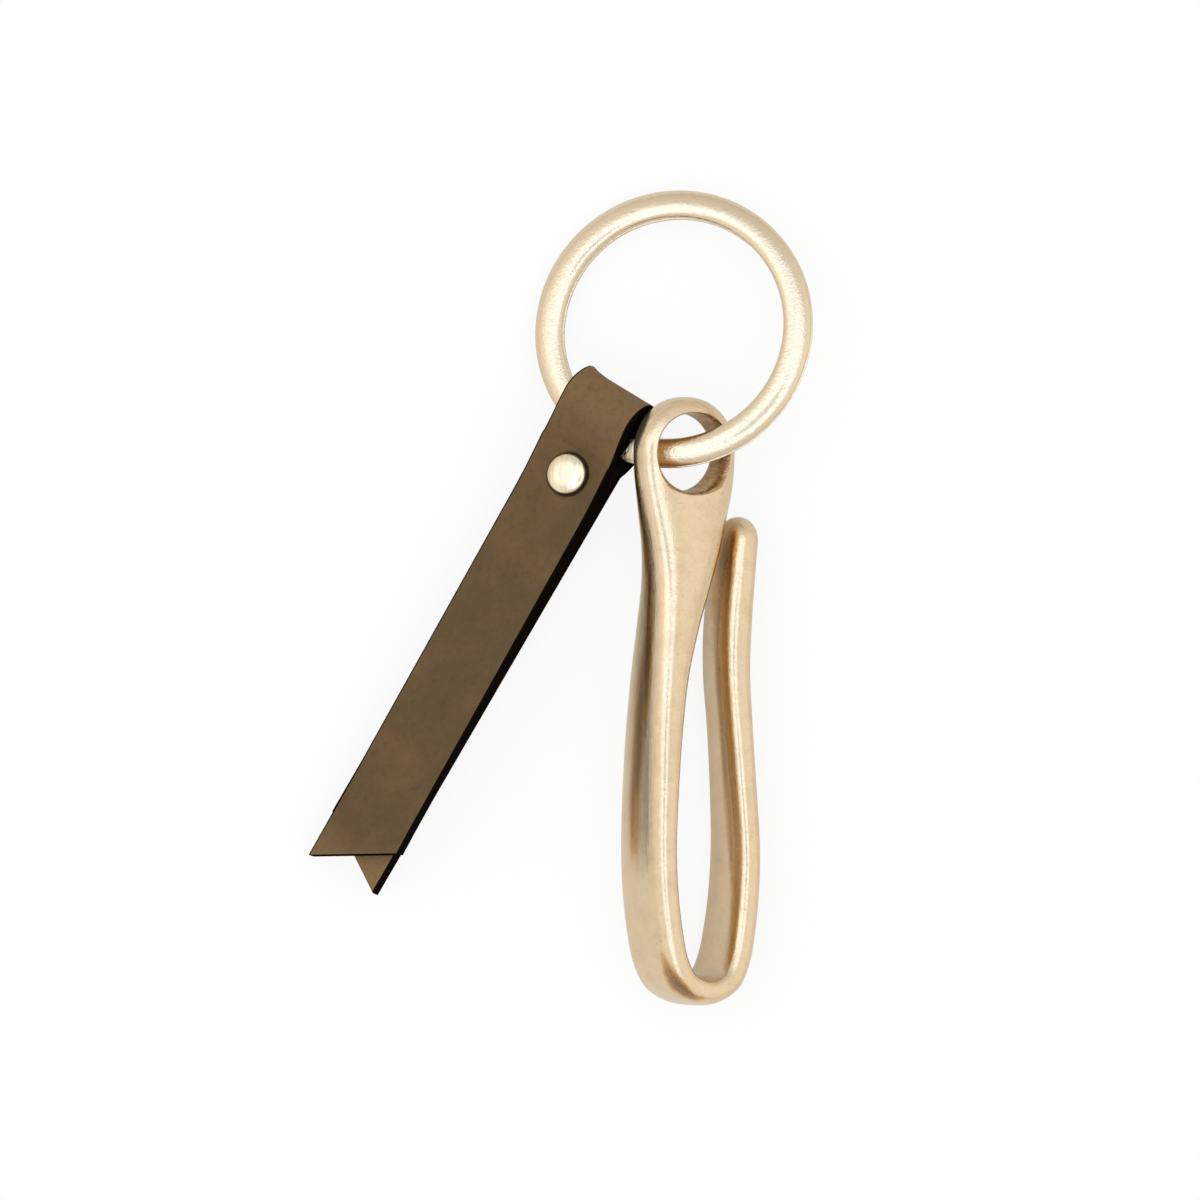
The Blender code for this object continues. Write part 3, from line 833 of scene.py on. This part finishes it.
def strap_loops(sizes, rivet):
    """Sections of the strap in its own axes: X to the tips, Y across, Z out of its front."""
    front, back = layer_heights(sizes)
    mean_tail = sizes.tail_length - sizes.cut_rise / 2
    whole_width = mean_tail - sizes.cut_rise
    slant = sizes.cut_rise / sizes.width
    yaw = math.tan(sizes.front_yaw)
    skew, lean, bow = wire_in_strap()
    lifts = spline(EDGE_LIFTS, LOOP_STEPS_PER_STATION)
    cuts = [i / CUT_STEPS for i in range(CUT_STEPS)]
    tail = [(mean_tail - sizes.cut_rise * share, slant * (1 - share)) for share in cuts]
    run = flat_end(sizes) - whole_width
    flat = [(whole_width + run * (i / TAIL_STEPS), 0) for i in range(TAIL_STEPS + 1)]
    loops = []
    for reach, cut_slant in tail + flat:
        swell = layer_swell(sizes, reach)
        turned_by = yaw * max(reach - rivet.reach, 0)
        loops.append(
            [
                (
                    reach - across * cut_slant,
                    across + turned_by,
                    front + through - swell * (through < 0) + edge_lift(sizes, lifts, reach, across),
                )
                for across, through, _ in strap_section(sizes, reach)
            ]
        )
    bend = loop_middle_line(sizes)
    for before, (reach, height), after in zip(bend, bend[1:], bend[2:]):
        along = (after - before) / np.linalg.norm(after - before)
        lift = loop_lift(sizes, reach, height)
        below = height < sizes.above_wire
        flare = FOLD_FLARE * smooth_step(-reach / sizes.fold_reach)
        half = strap_width(sizes, reach) / 2
        loops.append(
            [
                (
                    reach
                    + along[1] * through
                    + (across * skew - across**2 * bow) * lift
                    - flare * max(-across / half, 0) ** FOLD_FLARE_POWER,
                    across,
                    height
                    - along[0] * through
                    + (across * lean * lift if below else edge_lift(sizes, lifts, reach, across) * -along[0]),
                )
                for across, through, _ in strap_section(sizes, reach)
            ]
        )
    for reach, cut_slant in reversed(tail + flat):
        swell = layer_swell(sizes, reach)
        loops.append(
            [
                (reach + across * cut_slant, across, back - through + swell * (through < 0))
                for across, through, _ in strap_section(sizes, reach)
            ]
        )
    return loops


# Rivet


def cap_profile(strap, rivet):
    """A domed cap over the leather: over its dome, round its edge and back inside."""
    foot = strap.layer_gap / 2 + strap.thickness
    radius = rivet.cap_diameter / 2
    rise = rivet.cap_height - rivet.skirt
    profile = [(0, foot + rivet.cap_height)]
    for i in range(1, CAP_DOME_STEPS):
        angle = math.pi / 2 * i / CAP_DOME_STEPS
        out = radius * math.sin(angle) ** (2 / CAP_DOME_POWER)
        profile.append((out, foot + rivet.skirt + rise * math.cos(angle) ** (2 / CAP_DOME_POWER)))
    ceiling = foot + rivet.cap_height - rivet.wall
    inner = radius - rivet.wall
    turn_in = rivet.wall / 2
    profile += [(radius, foot + rivet.skirt), (radius, foot + turn_in), (radius - turn_in, foot)]
    profile += [(inner, foot), (inner, (foot + ceiling) / 2), (inner - turn_in, ceiling), (0, ceiling)]
    return profile


# Finishes


def new_finish(name):
    finish = bpy.data.materials.new(name)
    finish.use_nodes = True
    return finish, finish.node_tree, finish.node_tree.nodes["Principled BSDF"]


def add(tree, kind, **settings):
    node = tree.nodes.new(kind)
    for key, value in settings.items():
        setattr(node, key, value)
    return node


def millimetres(tree, place, stretch=(1, 1, 1)):
    """The piece's own coordinates in millimetres, squeezed along an axis by a stretch under 1."""
    where = add(tree, "ShaderNodeTexCoord")
    own = add(tree, "ShaderNodeMapping", vector_type="TEXTURE")
    own.inputs["Location"].default_value = place.translation
    own.inputs["Rotation"].default_value = place.to_euler("XYZ")
    scale = add(tree, "ShaderNodeMapping")
    scale.inputs["Scale"].default_value = [s / MM for s in stretch]
    tree.links.new(where.outputs["Object"], own.inputs["Vector"])
    tree.links.new(own.outputs["Vector"], scale.inputs["Vector"])
    return scale.outputs["Vector"]


def noise(tree, vector, size, detail=2.0, roughness=0.5):
    """Noise with features of a size in millimetres."""
    made = add(tree, "ShaderNodeTexNoise")
    made.inputs["Scale"].default_value = 1 / size
    made.inputs["Detail"].default_value = detail
    made.inputs["Roughness"].default_value = roughness
    tree.links.new(vector, made.inputs["Vector"])
    return made.outputs["Fac"]


def remap(tree, value, low, high, to_low, to_high):
    made = add(tree, "ShaderNodeMapRange")
    for key, number in (("From Min", low), ("From Max", high), ("To Min", to_low), ("To Max", to_high)):
        made.inputs[key].default_value = number
    tree.links.new(value, made.inputs["Value"])
    return made.outputs["Result"]


def blend(tree, share, first, second):
    """A mix of two colours; each is a colour or a node's output."""
    made = add(tree, "ShaderNodeMix", data_type="RGBA")
    tree.links.new(share, made.inputs["Factor"])
    for colour, key in ((first, 6), (second, 7)):
        if isinstance(colour, bpy.types.NodeSocket):
            tree.links.new(colour, made.inputs[key])
        else:
            made.inputs[key].default_value = (*colour, 1)
    return made.outputs[2]


def ramp(tree, value, stops):
    """A curve through stops of place and level or colour, from 0 to 1 along it."""
    made = add(tree, "ShaderNodeValToRGB")
    tree.links.new(value, made.inputs["Fac"])
    points = made.color_ramp.elements
    while len(points) < len(stops):
        points.new(0.5)
    for point, (place, level) in zip(points, stops):
        point.position = place
        point.color = (*(level if isinstance(level, tuple) else (level,) * 3), 1)
    return made.outputs["Color"]


def bump(tree, height, depth, below=None):
    """A bump of a depth in millimetres on top of another."""
    made = add(tree, "ShaderNodeBump")
    made.inputs["Strength"].default_value = 1.0
    made.inputs["Distance"].default_value = depth * MM
    tree.links.new(height, made.inputs["Height"])
    if below is not None:
        tree.links.new(below, made.inputs["Normal"])
    return made.outputs["Normal"]


def cast_brass(look):
    """Tumbled brass of the hook, darker in its pits, with painted reflections and painted shade in amber and
    brown along the marked lines.
    """
    finish, tree, shader = new_finish("cast_brass")
    place = millimetres(tree, hook_place())
    along = millimetres(tree, hook_place(), (2.2, 0.1, 2.2))
    patches = noise(tree, place, 3.0, detail=4.0, roughness=0.6)
    grain = noise(tree, place, 0.3, detail=3.0, roughness=0.6)
    swell = noise(tree, place, 2.6, detail=1.0)
    brush = noise(tree, along, 0.5, detail=3.0, roughness=0.6)
    speckle = noise(tree, place, 0.16, detail=2.0, roughness=0.7)
    stain = remap(tree, grain, 0.58, 0.78, 0.0, 0.5)
    colour = blend(tree, stain, look.colour, look.stain_colour)
    shade = remap(tree, patches, 0.45, 0.75, 0.0, 0.25)
    colour = blend(tree, shade, colour, look.stain_colour)
    # Painted reflections and painted shade: amber and brown along the marked lines, where the brass mirrors
    # the dark strap and the other arm
    mark = add(tree, "ShaderNodeAttribute", attribute_name=PAINTED_REFLECTION_MARK)
    ragged = add(tree, "ShaderNodeMath", operation="MULTIPLY_ADD")
    tree.links.new(speckle, ragged.inputs[0])
    ragged.inputs[1].default_value = PAINTED_REFLECTION_RAGGED_SHARE
    tree.links.new(mark.outputs["Fac"], ragged.inputs[2])
    for tint, span in ((PAINTED_AMBER_REFLECTION, PAINTED_AMBER_SPAN), (PAINTED_BROWN_REFLECTION, PAINTED_BROWN_SPAN)):
        colour = blend(tree, remap(tree, ragged.outputs[0], *span, 0.0, 1.0), colour, tint)
    tree.links.new(colour, shader.inputs["Base Color"])
    tree.links.new(remap(tree, patches, 0.3, 0.7, 0.06, 0.12), shader.inputs["Roughness"])
    normal = bump(tree, swell, 0.04)
    normal = bump(tree, grain, 0.05, normal)
    normal = bump(tree, brush, 0.015, normal)
    tree.links.new(normal, shader.inputs["Normal"])
    shader.inputs["Metallic"].default_value = 0.9
    lacquer(shader, 0.6)
    return finish


def eye_brass():
    """Deeper brass of the eye's wall, with the marks of its casting."""
    finish, tree, shader = new_finish("eye_brass")
    place = millimetres(tree, hook_place())
    ridges = noise(tree, millimetres(tree, hook_place(), (1, 1, 0.25)), 0.7, detail=4.0, roughness=0.65)
    grain = noise(tree, place, 0.3, detail=3.0, roughness=0.6)
    colour = blend(tree, remap(tree, ridges, 0.35, 0.7, 0.0, 1.0), EYE_WALL_BRASS, EYE_WALL_MARKS)
    tree.links.new(colour, shader.inputs["Base Color"])
    tree.links.new(remap(tree, grain, 0.3, 0.7, 0.16, 0.3), shader.inputs["Roughness"])
    normal = bump(tree, ridges, 0.12)
    normal = bump(tree, grain, 0.05, normal)
    tree.links.new(normal, shader.inputs["Normal"])
    shader.inputs["Metallic"].default_value = 0.9
    return finish


def lacquer(shader, share):
    """A thin hard gloss over the brass: it keeps the brightest light white."""
    shader.inputs["Coat Weight"].default_value = share
    shader.inputs["Coat IOR"].default_value = LACQUER_IOR
    shader.inputs["Coat Roughness"].default_value = LACQUER_ROUGHNESS


def ring_brass(look):
    """Pale scuffed brass of the ring's wire."""
    finish, tree, shader = new_finish("ring_brass")
    place = millimetres(tree, ring_place())
    grain = noise(tree, place, 0.34, detail=3.0, roughness=0.6)
    patches = noise(tree, place, 1.6, detail=3.0)
    stain = remap(tree, grain, 0.60, 0.8, 0.0, 0.5)
    tree.links.new(blend(tree, stain, look.colour, RING_PITS), shader.inputs["Base Color"])
    tree.links.new(remap(tree, patches, 0.35, 0.65, 0.05, 0.11), shader.inputs["Roughness"])
    normal = bump(tree, patches, 0.05)
    normal = bump(tree, grain, 0.06, normal)
    tree.links.new(normal, shader.inputs["Normal"])
    shader.inputs["Metallic"].default_value = 1.0
    lacquer(shader, 1.0)
    return finish


def rivet_brass(look):
    """Bright brass of the rivet, streaked along the table's Y."""
    finish, tree, shader = new_finish("rivet_brass")
    place = millimetres(tree, strap_place())
    brush = noise(tree, millimetres(tree, Matrix.Identity(4), (2.2, 0.3, 1)), 0.8, detail=3.0)
    grain = noise(tree, place, 0.2, detail=2.0)
    tree.links.new(remap(tree, grain, 0.3, 0.7, 0.18, 0.28), shader.inputs["Roughness"])
    tree.links.new(
        blend(tree, remap(tree, brush, 0.42, 0.65, 0.0, 0.8), look.colour, RIVET_STREAKS),
        shader.inputs["Base Color"],
    )
    tree.links.new(bump(tree, brush, 0.003), shader.inputs["Normal"])
    shader.inputs["Metallic"].default_value = 1.0
    return finish


def leather_face(look, rivet):
    """The grain side: worn at the fold and the tips, with a painted shadow ring pressed in round the rivet.
    """
    finish, tree, shader = new_finish("leather_face")
    place = millimetres(tree, strap_place())
    clouds = noise(tree, place, 6.0, detail=4.0, roughness=0.6)
    mottle = noise(tree, place, 0.9, detail=4.0, roughness=0.7)
    pores = noise(tree, place, 0.22, detail=3.0, roughness=0.6)
    split = add(tree, "ShaderNodeSeparateXYZ")
    tree.links.new(place, split.inputs["Vector"])
    wear = ramp(tree, remap(tree, split.outputs["X"], *WEAR_SPAN, 0.0, 1.0), WEAR_STOPS)
    colour = blend(tree, wear, look.face_colour, look.worn_colour)
    colour = blend(tree, remap(tree, clouds, 0.42, 0.72, 0.0, 0.3), colour, look.worn_colour)
    dark = tuple(c * 0.6 for c in look.face_colour)
    colour = blend(tree, remap(tree, mottle, 0.5, 0.75, 0.0, 0.4), colour, dark)
    away = add(tree, "ShaderNodeVectorMath", operation="DISTANCE")
    flat = add(tree, "ShaderNodeVectorMath", operation="MULTIPLY")
    flat.inputs[1].default_value = (1, 1, 0)
    tree.links.new(place, flat.inputs[0])
    tree.links.new(flat.outputs["Vector"], away.inputs[0])
    away.inputs[1].default_value = (rivet.reach / MM, rivet.side / MM, 0)
    rim = rivet.cap_diameter / 2 / MM
    # Painted shadow: a dark ring just outside the cap's rim, also bumped in as a dimple
    dimple_shadow = remap(tree, away.outputs["Value"], rim + SHADOW_RING_FROM, rim + SHADOW_RING_WIDTH, 0.85, 0.0)
    colour = blend(tree, dimple_shadow, colour, look.edge_colour)
    tree.links.new(colour, shader.inputs["Base Color"])
    tree.links.new(remap(tree, mottle, 0.3, 0.7, 0.5, 0.7), shader.inputs["Roughness"])
    normal = bump(tree, dimple_shadow, -0.15)
    normal = bump(tree, mottle, 0.04, normal)
    normal = bump(tree, pores, 0.02, normal)
    tree.links.new(normal, shader.inputs["Normal"])
    shader.inputs["Specular IOR Level"].default_value = 0.14
    return finish


def leather_flesh(look):
    """The inner side: painted shade, dark inside the loop round the ring, brown at the tips."""
    finish, tree, shader = new_finish("leather_flesh")
    place = millimetres(tree, strap_place())
    fibres = noise(tree, place, 0.35, detail=4.0, roughness=0.65)
    split = add(tree, "ShaderNodeSeparateXYZ")
    tree.links.new(place, split.inputs["Vector"])
    shade_to_brown = remap(tree, split.outputs["X"], *FLESH_SHADE_SPAN, 0.0, 1.0)
    # Painted shade: the inner side is black in the loop and between the layers, brown only towards the tips
    colour = blend(tree, shade_to_brown, look.edge_colour, look.worn_colour)
    dark = tuple(c * 0.5 for c in look.face_colour)
    colour = blend(tree, remap(tree, fibres, 0.5, 0.75, 0.0, 0.3), colour, dark)
    tree.links.new(colour, shader.inputs["Base Color"])
    tree.links.new(remap(tree, fibres, 0.3, 0.7, 0.7, 0.9), shader.inputs["Roughness"])
    tree.links.new(bump(tree, fibres, 0.05), shader.inputs["Normal"])
    shader.inputs["Specular IOR Level"].default_value = 0.1
    return finish


def leather_edge(look):
    """Black dyed edges with fibres that run along the strap."""
    finish, tree, shader = new_finish("leather_edge")
    fibres = noise(tree, millimetres(tree, strap_place(), (0.4, 1, 2)), 0.3, detail=4.0, roughness=0.65)
    tree.links.new(
        blend(tree, remap(tree, fibres, 0.5, 0.8, 0.0, 0.5), look.edge_colour, EDGE_FIBRES),
        shader.inputs["Base Color"],
    )
    tree.links.new(remap(tree, fibres, 0.3, 0.7, 0.38, 0.6), shader.inputs["Roughness"])
    tree.links.new(bump(tree, fibres, 0.04), shader.inputs["Normal"])
    shader.inputs["Specular IOR Level"].default_value = 0.0
    return finish


def table_white(studio):
    """White that keeps a share of the shadows where it is seen, straight or in the metal."""
    finish, tree, shader = new_finish("table_white")
    light = add(tree, "ShaderNodeLightPath")
    cloud = noise(tree, millimetres(tree, Matrix.Identity(4)), 60.0, detail=2.0)
    clouded = tuple(c * TABLE_CLOUD_SHARE for c in studio.table_colour)
    colour = blend(tree, cloud, studio.table_colour, clouded)
    tree.links.new(
        blend(tree, light.outputs["Is Glossy Ray"], colour, MIRRORED_TABLE), shader.inputs["Base Color"]
    )
    shader.inputs["Roughness"].default_value = 0.9
    shader.inputs["Specular IOR Level"].default_value = 0.0
    share = remap(tree, light.outputs["Is Camera Ray"], 0.0, 1.0, 0.0, TABLE_GLOW_SHARE)
    for ray in ("Is Glossy Ray", "Is Transmission Ray"):
        either = add(tree, "ShaderNodeMath", operation="MAXIMUM")
        tree.links.new(share, either.inputs[0])
        tree.links.new(
            remap(tree, light.outputs[ray], 0.0, 1.0, 0.0, MIRRORED_GLOW_SHARE), either.inputs[1]
        )
        share = either.outputs[0]
    glow = add(tree, "ShaderNodeEmission")
    both = add(tree, "ShaderNodeMixShader")
    tree.links.new(share, both.inputs[0])
    tree.links.new(shader.outputs[0], both.inputs[1])
    tree.links.new(glow.outputs[0], both.inputs[2])
    tree.links.new(both.outputs[0], tree.nodes["Material Output"].inputs["Surface"])
    return finish


# Operators


class KEYHOLDER_OT_ring(bpy.types.Operator):
    """Winds the split ring from one flattened wire"""

    bl_idname = "key_holder.ring"
    bl_label = "Split Ring"

    def execute(self, context):
        sizes = context.scene.key_ring
        made = piece("ring_wire", loft(ring_loops(sizes)), [ring_brass(sizes)], ring_place())
        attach(made, "ring")
        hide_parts("split_ring")
        return {"FINISHED"}


class KEYHOLDER_OT_hook(bpy.types.Operator):
    """Casts the fish hook with its eye"""

    bl_idname = "key_holder.hook"
    bl_label = "Fish Hook"

    def execute(self, context):
        sizes = context.scene.key_hook
        finishes = [cast_brass(sizes), eye_brass()]
        made = piece("hook_casting", loft(hook_loops(sizes)), finishes, hook_place())
        cut(made, eye_hole(sizes), hook_place())
        # Marks where reflections and shade are painted on the hook's front
        mark_painted_reflections(made)
        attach(made, "hook")
        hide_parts("hook")
        return {"FINISHED"}


class KEYHOLDER_OT_strap(bpy.types.Operator):
    """Folds the leather strap over the ring"""

    bl_idname = "key_holder.strap"
    bl_label = "Leather Strap"

    def execute(self, context):
        sizes = context.scene.key_strap
        rivet = context.scene.key_rivet
        finishes = [leather_face(sizes, rivet), leather_edge(sizes), leather_flesh(sizes)]
        section = strap_section(sizes, rivet.reach)
        bm = loft(strap_loops(sizes, rivet), [finish for _, _, finish in section])
        made = piece("strap_leather", bm, finishes, strap_place())
        reach = 2 * (sizes.layer_gap + 2 * sizes.thickness)
        radius = rivet.bore / 2
        hole = turned([(0, -reach), (radius, -reach), (radius, reach), (0, reach)], RIVET_SEGMENTS)
        cut(made, hole, strap_place() @ Matrix.Translation((rivet.reach, rivet.side, sizes.above_wire)))
        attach(made, "strap")
        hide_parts("leather_strap")
        return {"FINISHED"}


class KEYHOLDER_OT_rivet(bpy.types.Operator):
    """Sets the rivet's two domed caps and finishes its post and socket"""

    bl_idname = "key_holder.rivet"
    bl_label = "Rivet"

    def execute(self, context):
        strap = context.scene.key_strap
        rivet = context.scene.key_rivet
        finish = rivet_brass(rivet)
        place = strap_place() @ Matrix.Translation((rivet.reach, rivet.side, strap.above_wire))
        for name, node, side in (("cap_front", "rivet_front_cap", 1), ("cap_back", "rivet_back_cap", -1)):
            profile = [(radius, side * height) for radius, height in cap_profile(strap, rivet)]
            made = piece(name, turned(profile, RIVET_SEGMENTS), [finish], place)
            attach(made, "strap")
            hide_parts(node)
        for node in ("rivet_socket", "rivet_post"):
            mesh = frame["nodes"][node].data
            mesh.materials.clear()
            mesh.materials.append(finish)
        return {"FINISHED"}


class KEYHOLDER_OT_studio(bpy.types.Operator):
    """Lays the table and sets the soft light and the camera straight above"""

    bl_idname = "key_holder.studio"
    bl_label = "Studio"

    def execute(self, context):
        studio = context.scene.key_studio
        half = studio.table_size / 2
        bm = bmesh.new()
        corners = [bm.verts.new((x * half, y * half, 0)) for x, y in ((-1, -1), (1, -1), (1, 1), (-1, 1))]
        bm.faces.new(corners)
        piece("table", bm, [table_white(studio)], Matrix.Identity(4))
        light_world()
        set_camera(studio)
        context.scene.view_settings.view_transform = "Standard"
        return {"FINISHED"}


# Studio


def light_world():
    world = bpy.data.worlds.new("studio")
    bpy.context.scene.world = world
    world.use_nodes = True
    tree = world.node_tree
    where = add(tree, "ShaderNodeTexCoord").outputs["Generated"]
    split = add(tree, "ShaderNodeSeparateXYZ")
    tree.links.new(where, split.inputs["Vector"])
    sky = ramp(tree, remap(tree, split.outputs["Z"], -1.0, 1.0, 0.0, 1.0), SKY_STOPS)
    squares = []
    for axis in "XY":
        square = add(tree, "ShaderNodeMath", operation="MULTIPLY")
        for socket in square.inputs[:2]:
            tree.links.new(split.outputs[axis], socket)
        squares.append(square.outputs[0])
    sideways = add(tree, "ShaderNodeMath", operation="SUBTRACT")
    for square, socket in zip(squares, sideways.inputs):
        tree.links.new(square, socket)
    sides = remap(tree, sideways.outputs[0], -1.0, 1.0, 1 - SKY_SIDE_SHARE, 1 + SKY_SIDE_SHARE)
    towards = add(tree, "ShaderNodeVectorMath", operation="DOT_PRODUCT")
    towards.inputs[1].default_value = LAMP_TOWARDS
    tree.links.new(where, towards.inputs[0])
    lamp = ramp(tree, towards.outputs["Value"], LAMP_STOPS)
    level = add(tree, "ShaderNodeVectorMath", operation="MULTIPLY_ADD")
    for value, socket in zip((sky, sides, lamp), level.inputs):
        tree.links.new(value, socket)
    tree.links.new(level.outputs[0], tree.nodes["Background"].inputs["Color"])


def set_camera(studio):
    data = bpy.data.cameras.new("overhead")
    data.sensor_width = SENSOR_WIDTH
    data.lens = SENSOR_WIDTH * studio.view_height / studio.view_width
    camera = bpy.data.objects.new("overhead", data)
    camera.location = VIEW_CENTRE + Vector((0, 0, studio.view_height))
    bpy.context.scene.collection.objects.link(camera)
    bpy.context.scene.camera = camera


class KEYHOLDER_PT_panel(bpy.types.Panel):
    bl_idname = "KEYHOLDER_PT_panel"
    bl_label = "Key Holder"
    bl_space_type = "VIEW_3D"
    bl_region_type = "UI"
    bl_category = "Key Holder"

    def draw(self, context):
        for group, operator in GROUPS:
            box = self.layout.box()
            box.operator(operator.bl_idname)
            sizes = getattr(context.scene, group)
            for prop in sizes.__annotations__:
                box.prop(sizes, prop)


SIZE_GROUPS = {
    "key_ring": RingSizes,
    "key_hook": HookSizes,
    "key_strap": StrapSizes,
    "key_rivet": RivetSizes,
    "key_studio": StudioSizes,
}
GROUPS = (
    ("key_ring", KEYHOLDER_OT_ring),
    ("key_hook", KEYHOLDER_OT_hook),
    ("key_strap", KEYHOLDER_OT_strap),
    ("key_rivet", KEYHOLDER_OT_rivet),
    ("key_studio", KEYHOLDER_OT_studio),
)


def register():
    for name, group in SIZE_GROUPS.items():
        bpy.utils.register_class(group)
        setattr(bpy.types.Scene, name, PointerProperty(type=group))
    for _, operator in GROUPS:
        bpy.utils.register_class(operator)
    bpy.utils.register_class(KEYHOLDER_PT_panel)


def unregister():
    bpy.utils.unregister_class(KEYHOLDER_PT_panel)
    for _, operator in reversed(GROUPS):
        bpy.utils.unregister_class(operator)
    for name, group in reversed(SIZE_GROUPS.items()):
        delattr(bpy.types.Scene, name)
        bpy.utils.unregister_class(group)


def clear_start_objects():
    """Removes what Blender starts with, and keeps the frame."""
    kept = set(frame["bodies"].values()) | set(frame["nodes"].values())
    for item in list(bpy.data.objects):
        if item not in kept:
            bpy.data.objects.remove(item, do_unlink=True)


def main():
    clear_start_objects()
    register()
    bpy.ops.key_holder.ring()
    bpy.ops.key_holder.hook()
    bpy.ops.key_holder.strap()
    bpy.ops.key_holder.rivet()
    bpy.ops.key_holder.studio()


if __name__ == "__main__":
    main()
